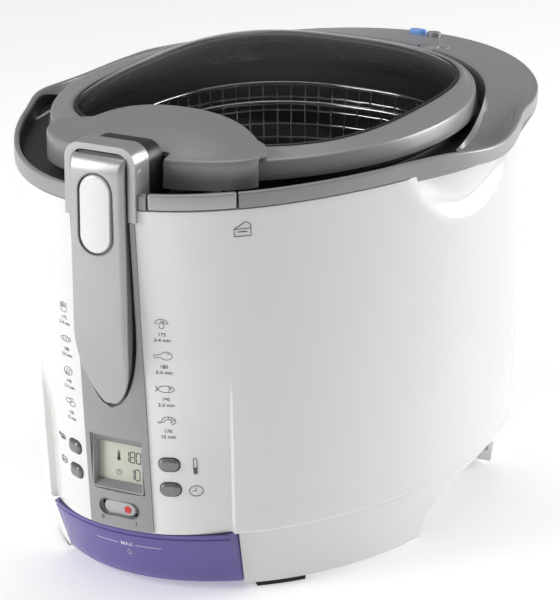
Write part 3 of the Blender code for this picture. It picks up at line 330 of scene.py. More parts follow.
@dataclass(frozen=True)
class Moulded:
    """Moulded plastic or rubber: fine grain, faint cloudiness and a little uneven gloss."""

    name: str
    colour: Point
    roughness: float
    coat: float = 0.0
    grain: float = 0.15
    grain_scale: float = 900.0
    cloud: float = 0.02
    metallic: float = 0.0
    sparkle: float = 0.0

    def build(self) -> bpy.types.Material:
        """Make the material."""
        graph = Graph(self.name)
        fine = graph.noise(self.grain_scale, 3.0)
        broad = graph.noise(18.0, 3.0)
        flecks = graph.noise(2600.0, 1.0).above(0.56, 0.72) * self.sparkle
        share = broad + flecks
        graph.set(Base_Color=graph.colours(tint(self.colour, -self.cloud), tint(self.colour, self.cloud), share),
                  Roughness=self.roughness + (fine - 0.5) * 0.10 + (broad - 0.5) * 0.08,
                  Metallic=self.metallic, Coat_Weight=self.coat, Coat_Roughness=0.08)
        graph.bump(fine, self.grain, 0.00025)
        return graph.material


@dataclass(frozen=True)
class Metal:
    """Bare or plated metal with fine drawing lines."""

    name: str
    colour: Point
    roughness: float
    lines: Point = (1.0, 1.0, 12.0)
    depth: float = 0.12

    def build(self) -> bpy.types.Material:
        """Make the material."""
        graph = Graph(self.name)
        drawn = graph.noise(420.0, 4.0, self.lines)
        stain = graph.noise(30.0, 3.0)
        graph.set(Base_Color=graph.colours(tint(self.colour, -0.10), tint(self.colour, 0.06), stain),
                  Roughness=self.roughness + (drawn - 0.5) * 0.14 + (stain - 0.5) * 0.10, Metallic=1.0)
        graph.bump(drawn, self.depth, 0.0002)
        return graph.material


@dataclass(frozen=True)
class Clear:
    """Clear or tinted plastic and glass, denser where it is seen at a slant."""

    name: str
    colour: Point
    face: float
    edge: float
    roughness: float = 0.04
    power: float = 2.0
    waviness: float = 0.05
    gloss: float = 0.5

    def build(self) -> bpy.types.Material:
        """Make the material."""
        graph = Graph(self.name)
        slant = graph.node("ShaderNodeLayerWeight", None, {"Blend": 0.5}, 1) ** self.power
        swell = graph.noise(24.0, 1.0)
        smear = graph.noise(70.0, 4.0)
        graph.set(Base_Color=graph.colours(tint(self.colour, -0.15), tint(self.colour, 0.15), swell),
                  Alpha=self.face + slant * (self.edge - self.face),
                  Roughness=self.roughness + smear * 0.05, Specular_IOR_Level=self.gloss)
        graph.bump(swell, self.waviness, 0.0006)
        return graph.material


@dataclass(frozen=True)
class Coating:
    """Non-stick coating: near black, speckled and slightly rough."""

    name: str
    colour: Point = (0.016, 0.016, 0.017)

    def build(self) -> bpy.types.Material:
        """Make the material."""
        graph = Graph(self.name)
        specks = graph.noise(1500.0, 2.0).above(0.62, 0.72)
        haze = graph.noise(22.0, 3.0)
        graph.set(Base_Color=graph.colours(self.colour, tint((0.06, 0.06, 0.062), 0.0), specks * 0.5),
                  Roughness=0.26 + haze * 0.18, Coat_Weight=0.3, Coat_Roughness=0.15)
        graph.bump(specks, 0.2, 0.0001)
        return graph.material


@dataclass(frozen=True)
class Glow:
    """Lit lamp lens, brighter in its middle."""

    name: str
    colour: Point
    centre: Point

    def build(self) -> bpy.types.Material:
        """Make the material."""
        graph = Graph(self.name)
        place = graph.node("ShaderNodeMapping", {"vector_type": "TEXTURE"},
                           {"Vector": graph.coordinates, "Location": self.centre, "Scale": (0.006, 0.0034, 0.01)})
        away = graph.node("ShaderNodeVectorMath", {"operation": "LENGTH"}, {0: place}, 1)
        heart = 1.0 - away.above(0.1, 1.0)
        shade = graph.colours(tint(self.colour, -0.45), (0.62, 0.80, 1.0), heart)
        graph.set(Base_Color=shade, Emission_Color=shade, Emission_Strength=0.55, Roughness=0.12, Coat_Weight=1.0)
        return graph.material


class Finish(Enum):
    """Every finish of the fryer."""

    WHITE = Moulded("white_gloss", (0.80, 0.80, 0.785), 0.22, 0.55, 0.05, 700.0, 0.012)
    GREY = Moulded("grey_satin", (0.315, 0.315, 0.325), 0.36, 0.15, 0.10, 1400.0, 0.03, 0.25, 0.5)
    LID_GREY = Moulded("lid_grey_satin", (0.345, 0.345, 0.352), 0.34, 0.18, 0.10, 1400.0, 0.03, 0.2, 0.5)
    SILVER = Moulded("silver_lacquer", (0.43, 0.43, 0.44), 0.34, 0.2, 0.08, 1600.0, 0.04, 0.45, 0.6)
    DARK_GREY = Moulded("dark_grey_satin", (0.13, 0.13, 0.135), 0.4, 0.1, 0.12, 1200.0, 0.04)
    KEY = Moulded("key_lacquer", (0.20, 0.20, 0.205), 0.24, 0.5, 0.05, 900.0, 0.03, 0.35, 0.4)
    PALE = Moulded("pale_gloss", (0.78, 0.78, 0.775), 0.2, 0.4, 0.05, 900.0, 0.012)
    BLACK = Moulded("black_plastic", (0.012, 0.012, 0.013), 0.38, 0.1, 0.2, 900.0, 0.1)
    RUBBER = Moulded("black_rubber", (0.018, 0.018, 0.018), 0.75, 0.0, 0.4, 600.0, 0.15)
    INK = Moulded("printed_ink", (0.055, 0.055, 0.06), 0.5, 0.0, 0.1, 1500.0, 0.05)
    PALE_INK = Moulded("pale_ink", (0.66, 0.66, 0.75), 0.4, 0.0, 0.1, 1500.0, 0.03)
    LCD = Moulded("lcd_ground", (0.55, 0.57, 0.48), 0.3, 0.3, 0.04, 900.0, 0.03)
    RED = Moulded("red_dot", (0.55, 0.012, 0.010), 0.25, 0.6, 0.04, 900.0, 0.05)
    BOARD = Moulded("circuit_board", (0.02, 0.13, 0.05), 0.45, 0.2, 0.3, 400.0, 0.2)
    VIOLET = Clear("violet_tray", (0.235, 0.20, 0.54), 0.86, 0.97, 0.06, 1.5)
    WINDOW = Clear("smoked_window", (0.006, 0.006, 0.006), 0.10, 0.97, 0.02, 3.0, 0.02, 0.12)
    DISPLAY = Clear("display_glass", (0.50, 0.52, 0.44), 0.06, 0.5, 0.03, 2.0, 0.01)
    CHROME = Metal("chrome_wire", (0.82, 0.80, 0.76), 0.12, (1.0, 1.0, 3.0), 0.05)
    STEEL = Metal("plain_steel", (0.56, 0.56, 0.57), 0.26)
    ALUMINIUM = Metal("spun_aluminium", (0.66, 0.67, 0.68), 0.32, (1.0, 1.0, 20.0), 0.2)
    POT = Coating("pot_coating")
    LAMP = Glow("blue_lamp", (0.10, 0.26, 0.80), (0.0, 0.181, 0.232))

    def material(self) -> bpy.types.Material:
        """The material, made on first use."""
        found = bpy.data.materials.get(self.value.name)
        return found or self.value.build()


SLOT_FINISH = {
    "white_body": Finish.WHITE, "rubber": Finish.RUBBER, "steel": Finish.STEEL, "grey_trim": Finish.GREY,
    "silver_trim": Finish.SILVER, "pale_plastic": Finish.PALE, "blue_lamp": Finish.LAMP,
    "black_plastic": Finish.BLACK, "pot_coating": Finish.POT, "aluminium": Finish.ALUMINIUM,
    "display_glass": Finish.DISPLAY, "circuit_board": Finish.BOARD, "window": Finish.WINDOW,
    "chrome_wire": Finish.CHROME, "violet_tray": Finish.VIOLET,
}


# ---------------------------------------------------------------- mesh tools
def add_piece(name: str, mesh: bmesh.types.BMesh, finish: Finish, body: str = "",
              replaces: Iterable[str] = (), sharp: float = 38.0) -> bpy.types.Object:
    """Put a bmesh in the scene as a piece that rides on a body.

    Args:
        name: the piece's name.
        mesh: its mesh, which is used up.
        finish: its finish.
        body: the frame's body that carries it; a guide for cutting has none.
        replaces: nodes of the frame that it stands for.
        sharp: edges that turn more than this many degrees stay sharp.

    Returns:
        The new object.
    """
    bmesh.ops.recalc_face_normals(mesh, faces=mesh.faces)
    data = bpy.data.meshes.new(name)
    mesh.to_mesh(data)
    mesh.free()
    data.shade_smooth()
    data.set_sharp_from_angle(angle=math.radians(sharp))
    data.materials.append(finish.material())
    made = bpy.data.objects.new(name, data)
    bpy.context.scene.collection.objects.link(made)
    if body:
        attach(made, body)
        LOG.info("piece %s rides on %s, %d faces", name, body, len(data.polygons))
    if replaces:
        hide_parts(*replaces)
    return made


def settle(piece: bpy.types.Object, sharp: float = 38.0) -> None:
    """Apply a piece's modifiers to its mesh."""
    graph = bpy.context.evaluated_depsgraph_get()
    graph.update()
    data = bpy.data.meshes.new_from_object(piece.evaluated_get(graph))
    piece.modifiers.clear()
    piece.data = data
    data.shade_smooth()
    data.set_sharp_from_angle(angle=math.radians(sharp))


def carve(piece: bpy.types.Object, cutters: Iterable[bpy.types.Object], sharp: float = 38.0) -> None:
    """Cut closed guides out of a piece and remove them."""
    guides = list(cutters)
    for guide in guides:
        modifier = piece.modifiers.new("cut", "BOOLEAN")
        modifier.operation = "DIFFERENCE"
        modifier.solver = "EXACT"
        modifier.object = guide
    settle(piece, sharp)
    for guide in guides:
        bpy.data.objects.remove(guide, do_unlink=True)


class Skin:
    """A surface drawn ring by ring out of a circle."""

    def __init__(self, ring: Sequence[Vector]) -> None:
        """Start from a circle moved to the first ring."""
        self.mesh = bmesh.new()
        made = bmesh.ops.create_circle(self.mesh, segments=len(ring), radius=1.0)
        self.ring = list(made["verts"])
        self._place(ring)

    def _place(self, ring: Sequence[Vector]) -> None:
        """Move the newest verts to their places."""
        for vert, point in zip(self.ring, ring):
            vert.co = point

    def _edges(self) -> list[bmesh.types.BMEdge]:
        """Edges of the newest ring."""
        return [self.mesh.edges.get((a, b)) for a, b in zip(self.ring, self.ring[1:] + self.ring[:1])]

    def draw(self, rings: Iterable[Sequence[Vector]]) -> "Skin":
        """Extrude the open edge through more rings."""
        for ring in rings:
            fresh = {item for item in bmesh.ops.extrude_edge_only(self.mesh, edges=self._edges())["geom"]
                     if isinstance(item, bmesh.types.BMVert)}
            self.ring = [next(edge.other_vert(vert) for edge in vert.link_edges
                              if edge.other_vert(vert) in fresh) for vert in self.ring]
            self._place(ring)
        return self

    def cap(self) -> "Skin":
        """Close the newest ring with triangles, whatever its shape."""
        face = bmesh.ops.contextual_create(self.mesh, geom=self._edges())["faces"]
        bmesh.ops.triangulate(self.mesh, faces=face, quad_method="BEAUTY", ngon_method="BEAUTY")
        return self

    def weld(self) -> bmesh.types.BMesh:
        """Merge doubles, as where the last ring lies on the first."""
        bmesh.ops.remove_doubles(self.mesh, verts=self.mesh.verts, dist=1e-7)
        return self.mesh


def tube_ring(rings: Sequence[Sequence[Vector]]) -> bmesh.types.BMesh:
    """Closed ring solid whose last ring joins its first."""
    return Skin(rings[0]).draw([*rings[1:], rings[0]]).weld()


def slab(outline: Sequence[Flat], front: Callable[[float, float], float], back: Callable[[float, float], float],
         rim: float = 0.0, steps: int = 3) -> bmesh.types.BMesh:
    """Plate with an outline in X and Z, between two surfaces, its front edge rounded.

    Args:
        outline: the plate's outline.
        front: Y of the front at a place.
        back: Y of the back at a place.
        rim: radius of the front edge.
        steps: rings of the rounding.

    Returns:
        The closed mesh.
    """
    middle = (sum(p[0] for p in outline) / len(outline), sum(p[1] for p in outline) / len(outline))

    def ring(surface: Callable[[float, float], float], inset: float, drop: float) -> list[Vector]:
        points = []
        for x, z in outline:
            out = Vector((x - middle[0], z - middle[1]))
            reach = max(out.length - inset, 0.0) / out.length
            px, pz = middle[0] + out.x * reach, middle[1] + out.y * reach
            points.append(Vector((px, surface(px, pz) + drop, pz)))
        return points
    rounding = quarter(rim, steps) if rim else [(0.0, 0.0)]
    skin = Skin(ring(back, 0.0, 0.0)).cap()
    return skin.draw([ring(front, inset, drop) for inset, drop in rounding]).cap().weld()


def block(low: Sequence[float], high: Sequence[float], rim: float = 0.0, segments: int = 3) -> bmesh.types.BMesh:
    """Box between two corners with rounded edges."""
    mesh = bmesh.new()
    bmesh.ops.create_cube(mesh, size=1.0)
    size = Vector(high) - Vector(low)
    bmesh.ops.scale(mesh, vec=size, verts=mesh.verts)
    bmesh.ops.translate(mesh, vec=(Vector(low) + Vector(high)) / 2.0, verts=mesh.verts)
    if rim:
        bmesh.ops.bevel(mesh, geom=mesh.edges[:], offset=rim, offset_type="OFFSET", affect="EDGES",
                        segments=segments, profile=0.5, material=-1)
    return mesh


def prism(outline: Sequence[Flat], axis: str, low: float, high: float) -> bmesh.types.BMesh:
    """Plane outline extruded along X, Y or Z."""
    def place(u: float, v: float, w: float) -> Vector:
        return Vector({"x": (w, u, v), "y": (u, w, v), "z": (u, v, w)}[axis])
    skin = Skin([place(u, v, low) for u, v in outline]).cap()
    return skin.draw([[place(u, v, high) for u, v in outline]]).cap().weld()


def guide(mesh: bmesh.types.BMesh, name: str = "guide") -> bpy.types.Object:
    """Closed mesh used only to cut another."""
    return add_piece(name, mesh, Finish.BLACK)


def circle(centre: Flat, radius: float, count: int = 32) -> list[Flat]:
    """Points of a circle in a plane."""
    return [(centre[0] + radius * math.cos(math.tau * i / count),
             centre[1] + radius * math.sin(math.tau * i / count)) for i in range(count)]


def wire(name: str, paths: Sequence[tuple[Sequence[Vector], bool]], radius: float, finish: Finish, body: str,
         sides: int = 2, replaces: Iterable[str] = ()) -> bpy.types.Object:
    """Round wires along paths, made a mesh.

    Args:
        name: the piece's name.
        paths: points of each wire and whether it is a loop.
        radius: the wire's radius.
        finish: its finish.
        body: the body that carries it.
        sides: bevel resolution of the section.
        replaces: nodes that it stands for.

    Returns:
        The mesh object.
    """
    curve = bpy.data.curves.new(name, "CURVE")
    curve.dimensions = "3D"
    curve.bevel_depth = radius
    curve.bevel_resolution = sides
    curve.use_fill_caps = True
    for points, loop in paths:
        spline = curve.splines.new("POLY")
        spline.points.add(len(points) - 1)
        for target, point in zip(spline.points, points):
            target.co = (*point, 1.0)
        spline.use_cyclic_u = loop
    holder = bpy.data.objects.new(name, curve)
    bpy.context.scene.collection.objects.link(holder)
    graph = bpy.context.evaluated_depsgraph_get()
    graph.update()
    data = bpy.data.meshes.new_from_object(holder.evaluated_get(graph))
    bpy.data.objects.remove(holder, do_unlink=True)
    mesh = bmesh.new()
    mesh.from_mesh(data)
    bpy.data.meshes.remove(data)
    bmesh.ops.remove_doubles(mesh, verts=mesh.verts, dist=1e-7)
    return add_piece(name, mesh, finish, body, replaces, 60.0)


# ---------------------------------------------------------------- body
SCOOP_BOTTOM = 0.1096
SCOOP_INNER = 0.0166
SWITCH_Z = 0.050
BUTTONS = (("button_filter", -0.029, 0.0791), ("button_menu", -0.029, 0.0647),
           ("button_temperature", 0.029, 0.0791), ("button_timer", 0.029, 0.0647))
DISPLAY_BOX = (0.016, 0.060, 0.092)


def panel_openings(depth: float = -0.14) -> list[bpy.types.Object]:
    """Guides for the display's recess and the slider's track."""
    half, low, high = DISPLAY_BOX
    track = pill((0.0, SWITCH_Z), 0.0121, 0.0046, 0.0046, 12)
    return [guide(block((-half, -0.25, low), (half, depth, high))), guide(prism(track, "y", -0.25, depth))]


@dataclass
class Shell:
    """White body shell with its stepped front panel, side hollows and openings."""

    wall: float = 0.0025
    angles: list[float] = field(default_factory=list)

    def __post_init__(self) -> None:
        """Add close angles round the panel's step."""
        step = [FORM.panel_half_angle - 0.25 + 0.125 * i for i in range(9)]
        self.angles = sorted({*even_angles(288), *step, *(360.0 - angle for angle in step)})

    def rings(self) -> list[list[Vector]]:
        """Closed section: outside from the foot up, then the inside down."""
        low, high = FORM.shell_bottom, FORM.shell_top
        rows = [(low, 0.0012), (low + 0.0002, 0.0006), (low + 0.0008, 0.0001), (low + 0.0016, 0.0)]
        rows += [(mix(low + 0.0016, high - 0.0004, i / 52), 0.0) for i in range(1, 53)]
        rows += [(high - 0.0001, 0.0001), (high, 0.0004), (high, self.wall)]
        rows += [(mix(high, low, i / 20), self.wall) for i in range(1, 21)]
        return [FORM.ring(z, inset, self.angles) for z, inset in rows]

    def build(self) -> None:
        """Model the shell and cut its openings."""
        shell = add_piece("body_shell", tube_ring(self.rings()), Finish.WHITE, "base", ["outer_shell"])
        slot = SCOOP_INNER + 0.00175
        guides = [guide(block((-slot, -0.3, SCOOP_BOTTOM - 0.0016), (slot, -0.14, 0.25))), *panel_openings()]
        guides += [guide(prism(pill((x, z), 0.0053, 0.0042, 0.0038), "y", -0.25, -0.14)) for _, x, z in BUTTONS]
        guides.append(guide(prism(circle((0.0, 0.070), 0.0070), "y", 0.14, 0.25)))
        carve(shell, guides)


@dataclass
class Skirt:
    """White foot of the body with the tray bay and the side arches."""

    half_width: float = 0.1137
    half_depth: float = 0.161
    flare: float = 0.0045
    floor: tuple[float, float] = (0.040, 0.043)
    top: float = 0.060
    wall: float = 0.0025

    def size(self, z: float) -> Flat:
        """Half width and half depth of the outside."""
        share = z / self.floor[0]
        return self.half_width + self.flare * share, self.half_depth + 1.6 * self.flare * share

    def ring(self, z: float, inset: float = 0.0, level: float | None = None) -> list[Vector]:
        """Ring of the outside, moved inwards; level takes the size of another height."""
        return oval(*self.size(z if level is None else level), 0.0, z, angles=even_angles(240), push=-inset)

    def build(self) -> None:
        """Model the skirt with its floor and cut its openings."""
        low, high = self.floor
        flange = self.top - 0.003
        rings = [self.ring(low, self.wall), self.ring(0.010, self.wall), self.ring(0.008, 0.008),
                 self.ring(0.0025, 0.008), self.ring(0.0025, 0.0010), self.ring(0.0028, 0.0003), self.ring(0.0036)]
        rings += [self.ring(mix(0.0036, low, i / 8)) for i in range(1, 9)]
        rings += [self.ring(flange - 0.003, 0.0, low), FORM.ring(flange, self.wall + 0.0005, even_angles(240)),
                  FORM.ring(self.top, self.wall + 0.0005, even_angles(240)), self.ring(self.top, self.wall, low),
                  self.ring(high, self.wall, low)]
        mesh = Skin(rings[0]).cap().draw(rings[1:]).cap().weld()
        skirt = add_piece("body_skirt", mesh, Finish.WHITE, "base", ["base_skirt"])
        arch = [(0.0225 - 0.0625 * math.cos(math.radians(turn)),
                 -0.0028 + 0.0328 * math.sin(math.radians(turn)) ** 0.7) for turn in range(0, 181, 4)]
        carve(skirt, [guide(block((-0.0549, -0.25, -0.01), (0.0549, -0.1159, low - 0.0015))),
                      guide(prism(arch, "x", -0.2, 0.2)),
                      guide(block((-0.0445, -0.1505, 0.03), (-0.0295, -0.1385, 0.05))),
                      guide(block((-0.039, -0.25, high + 0.0005), (0.039, -0.1549, 0.08)))])


@dataclass
class Collar:
    """Grey rim band with side lips, the rear deck and the channel round the lid."""

    seam: float = 0.2225
    top: Flat = (0.2312, 0.2280)
    deck_wall: float = 0.0025
    deck_edge: float = 0.2375
    channel_z: float = 0.2213
    lid_size: Flat = (0.1123, 0.1415)
    lid_y: float = -0.0145
    angles: list[float] = field(default_factory=lambda: even_angles(320))

    def deck_share(self, angle: float) -> float:
        """0 where the rim is a thin wall, 1 where it is the rear deck."""
        return ease((side_angle(angle) - 92.0) / 26.0)

    def bulge(self, angle: float, z: float) -> float:
        """Push of the outline: out at the lips, in at the notch behind them."""
        turn = side_angle(angle)
        notch = 0.0012 * math.exp(-((turn - 106.0) / 4.0) ** 2)
        return 0.0060 * FORM.lip_share(angle) - notch - FORM.pinch(angle, z)

    def seam_z(self, angle: float) -> float:
        """Height of the seam between the white shell and the band."""
        return self.seam - FORM.dip(angle)

    def outer_z(self, angle: float) -> float:
        """Height of the band's outer edge."""
        return mix(*self.top, ease((side_angle(angle) - 100.0) / 40.0)) - FORM.dip(angle)

    def inner_z(self, angle: float) -> float:
        """Height of the deck's edge round the lid."""
        return mix(self.channel_z + 0.0002, self.deck_edge, ease((side_angle(angle) - 86.0) / 34.0))

    def band(self, height: float | Callable[[float], float], inset: float) -> list[Vector]:
        """Ring of the band's outside."""
        return oval(FORM.half_width, FORM.half_depth, 0.0, height, angles=self.angles,
                    push=lambda angle, x, z: self.bulge(angle, z) - inset)

    def channel(self, height: float | Callable[[float], float], inset: float) -> list[Vector]:
        """Ring of the step that goes round the lid."""
        reach = 0.0047 - inset
        return oval(self.lid_size[0] + reach, self.lid_size[1] + reach, self.lid_y, height, angles=self.angles)

    def between(self, thin: Sequence[Vector], deck: Sequence[Vector], share: Callable[[float], float]
                ) -> list[Vector]:
        """Ring that is the thin wall's in front and the deck's behind."""
        return [a.lerp(b, share(angle)) for a, b, angle in zip(thin, deck, self.angles)]

    def mouth(self, z: float, inset: float) -> list[Vector]:
        """Ring of the pot's opening."""
        return oval(0.1015 - inset, 0.1255 - inset, -0.012, z, 2.4, self.angles)

    def rings(self) -> list[list[Vector]]:
        """Closed section of the collar."""
        low, floor = self.channel_z - self.deck_wall, self.channel_z
        foot, pot_depth, step_edge = self.band(floor, 0.0044), 0.007, 0.0004
        edge, step = self.band(self.outer_z, 0.0022), self.channel(self.inner_z, 0.0)
        thin = [self.band(lambda a, drop=drop: self.outer_z(a) - drop, inset)
                for drop, inset in ((0.0003, 0.0026), (0.0010, 0.0030))]
        thin += [self.band(floor + 0.0010, 0.0036), foot]
        thin += [blend_rings(foot, self.channel(floor, 0.0), share) for share in (0.25, 0.5, 0.75, 0.95)]
        deck = [blend_rings(edge, step, share) for share in (0.05, 0.15, 0.3, 0.45, 0.6, 0.75, 0.88, 0.97)]
        top = [self.between(a, b, self.deck_share) for a, b in zip(thin, deck)]
        outside = [self.band(self.seam_z, 0.0008), self.band(lambda a: self.seam_z(a) + 0.0004, 0.0)]
        outside += [self.band(lambda a, drop=drop: self.outer_z(a) - drop, inset)
                    for inset, drop in quarter(0.0014, 6)]
        below_deck = self.channel(lambda a: max(self.inner_z(a) - pot_depth, low), -self.deck_wall)
        under = self.between(self.band(low, 0.0032), below_deck, self.deck_share)
        return [*outside, edge, *top, self.channel(lambda a: self.inner_z(a) - 0.0002, step_edge),
                self.channel(lambda a: max(self.inner_z(a) - 0.0008, floor), step_edge),
                self.channel(floor, 3.0 * step_edge),
                self.mouth(floor, step_edge), self.mouth(floor - step_edge, 0.0), self.mouth(floor - pot_depth, 0.0),
                self.mouth(floor - pot_depth, -self.deck_wall), self.mouth(low, -self.deck_wall),
                self.channel(low, -0.0013), under, self.band(self.seam_z, 0.0030)]

    def liner(self) -> None:
        """Black lining of the channel, up to the rim's inner edge in front."""
        floor = self.channel_z + 0.0005

        def share(angle: float) -> float:
            """0 along the thin wall, 1 along the deck's step."""
            return ease((side_angle(angle) - 76.0) / 16.0)
        wall = self.between(self.band(lambda a: self.outer_z(a) - 0.0016, 0.0040),
                            self.channel(floor + 0.0008, 0.0016), share)
        foot = self.between(self.band(floor, 0.0050), self.channel(floor, 0.0018), share)
        base = self.between(self.band(floor - 0.0008, 0.0044), self.channel(floor - 0.0008, 0.0014), share)
        inner, below = self.mouth(floor, -0.0004), self.mouth(floor - 0.0008, -0.0004)
        liner = add_piece("channel_liner", tube_ring([base, wall, foot, inner, below]), Finish.BLACK, "base")
        carve(liner, [release_block(-0.01, 0.0090, 0.0012, 0.2150, 0.2400)])

    def build(self) -> None:
        """Model the collar, its hinge bosses and its openings."""
        collar = add_piece("rim_collar", tube_ring(self.rings()), Finish.GREY, "base", ["collar"])
        guides = []
        for side in (-0.030, 0.030):
            guides.append(guide(block((side - 0.0063, 0.122, 0.223), (side + 0.0063, 0.1400, 0.2475), 0.0006)))
        guides.append(guide(block((-0.0215, -0.3, 0.20), (0.0215, -0.1605, 0.26))))
        guides.append(guide(block((0.038, -0.1595, 0.20), (0.048, -0.1495, 0.2245))))
        guides.append(guide(block((-0.042, -0.148, 0.20), (-0.032, -0.141, 0.2245))))
        guides.append(guide(prism(pill((0.0, 0.181), 0.0058, 0.0033, 0.0033), "z", 0.2, 0.25)))
        guides.append(guide(prism(circle((0.012, 0.178), 0.0047), "z", 0.2, 0.25)))
        guides.append(release_block(-0.01, 0.0042, 0.0008, 0.2205, 0.2400))
        carve(collar, guides)
        self.liner()
        for side in (-1, 1):
            for edge in (-1, 1):
                x = side * 0.030 + edge * 0.0085
                add_piece(f"hinge_boss_{'left' if side < 0 else 'right'}_{'in' if side * edge < 0 else 'out'}",
                          block((x - 0.0019, 0.1292, 0.2275), (x + 0.0019, 0.1408, 0.2359), 0.0009),
                          Finish.GREY, "base")


def release_rings(proud: float, depth: float, slack: float, count: int = 24) -> tuple[list[Vector], list[Vector]]:
    """Outer and inner lines of the part of the band that the release bar fills."""
    start = math.degrees(math.asin((0.026 - slack) / FORM.half_width))
    end = math.degrees(math.asin((0.067 + slack) / FORM.half_width))
    angles = [mix(start, end, i / count) for i in range(count + 1)]
    return tuple(oval(FORM.half_width, FORM.half_depth, 0.0, 0.0, angles=angles,
                      push=lambda angle, x, z, reach=reach: -reach - FORM.pinch(angle, 0.2270))
                 for reach in (proud, depth))


def release_block(proud: float, depth: float, slack: float, low: float, high: float) -> bpy.types.Object:
    """Guide in the shape of the release bar's pocket."""
    outer, inner = release_rings(proud, depth, slack)
    outline = [(point.x, point.y) for point in outer + inner[::-1]]
    return guide(prism(outline, "z", low, high))


@dataclass
class Strip:
    """Grey centre strip with the finger scoop, the recess and the slider's track."""

    half_width: float = 0.0193
    bottom: float = 0.0385
    proud: float = 0.0015
    wall: float = 0.00115
    scoop: float = 0.014

    def depth(self, z: float) -> float:
        """Depth of the finger scoop."""
        if z <= SCOOP_BOTTOM:
            return 0.0
        lip, rise = 0.003, 0.001
        above = z - SCOOP_BOTTOM
        return lip * ease(above / rise) + (self.scoop - lip) * ease((above - rise) / 0.040)

    def mouth(self, z: float) -> float:
        """Half width of the scoop, round at its foot like the handle's tip."""
        rise = min(max((z - 0.1102) / 0.050, 0.0), 1.0)
        return max((SCOOP_INNER + 0.0001) * math.sqrt(1.0 - (1.0 - rise) ** 2.4), 0.0012)

    def row(self, z: float, inset: float, widen: float) -> list[Vector]:
        """Line of the strip's surface at a height."""
        inner = self.mouth(z) + widen
        stations = [-self.half_width, *[mix(-self.half_width, -inner, i / 3) for i in (1, 2)], -inner - 0.0004]
        stations += [mix(-inner, inner, i / 16) for i in range(17)]
        stations += [inner + 0.0004, *[mix(inner, self.half_width, i / 3) for i in (1, 2)], self.half_width]
        points = []
        for x in stations:
            deep = self.depth(z) if abs(x) <= inner + 1e-6 else 0.0
            rim = 0.0005 * ease((abs(x) - self.half_width + 0.0006) / 0.0006)
            points.append(Vector((x, FORM.front_y(x, z, inset + deep + rim), z)))
        return points

    def ring(self, z: float) -> list[Vector]:
        """Closed section at a height."""
        front, back = self.row(z, -self.proud, 0.0), self.row(z, -self.proud + self.wall, self.wall)
        for place, point in zip(front, back):
            point.y = max(point.y, place.y + 0.4 * self.wall)
        return front + back[::-1]

    def build(self) -> None:
        """Model the strip and cut it."""
        levels = [mix(self.bottom, SCOOP_BOTTOM, i / 18) for i in range(19)]
        levels += [SCOOP_BOTTOM + 0.0005, SCOOP_BOTTOM + 0.001]
        levels += [mix(SCOOP_BOTTOM + 0.001, 0.2155, (i / 50) ** 1.6) for i in range(1, 51)]
        rings = [self.ring(z) for z in levels]
        strip = add_piece("centre_strip", Skin(rings[0]).cap().draw(rings[1:]).cap().weld(), Finish.GREY, "base",
                          ["control_strip"], 30.0)
        carve(strip, panel_openings(), 30.0)


@dataclass
class DeckDetails:
    """Lamp, filter reset button and their rims on the rear deck."""

    lamp: Flat = (0.0, 0.181)
    reset: Flat = (0.012, 0.178)

    def top(self, y: float) -> float:
        """Height of the deck along its middle."""
        front, rear = 0.1317, 0.1988
        return mix(0.2375, 0.2303, (y - front) / (rear - front))

    def button(self, outline: Sequence[Flat], rise: float, rim: float, centre: Flat) -> bmesh.types.BMesh:
        """Domed cap with a rounded edge that follows the deck."""
        rows = [(0.0, -0.006)] + [(inset, rise - drop) for inset, drop in quarter(rim, 5)]
        rings = []
        for inset, height in rows:
            ring = []
            for x, y in outline:
                away = Vector((x - centre[0], y - centre[1]))
                scale = (away.length - inset) / away.length
                px, py = centre[0] + away.x * scale, centre[1] + away.y * scale
                ring.append(Vector((px, py, self.top(py) + height)))
            rings.append(ring)
        return Skin(rings[0]).cap().draw(rings[1:]).cap().weld()

    def build(self) -> None:
        """Make both caps."""
        lens = pill(self.lamp, 0.0054, 0.0029, 0.0029, 12)
        add_piece("ready_lamp_lens", self.button(lens, 0.0006, 0.0012, self.lamp),
                  Finish.LAMP, "base", ["ready_lamp"])
        add_piece("reset_cap", self.button(circle(self.reset, 0.0041, 48), 0.0006, 0.0008, self.reset), Finish.GREY,
                  "filter_reset", ["filter_reset_button"])


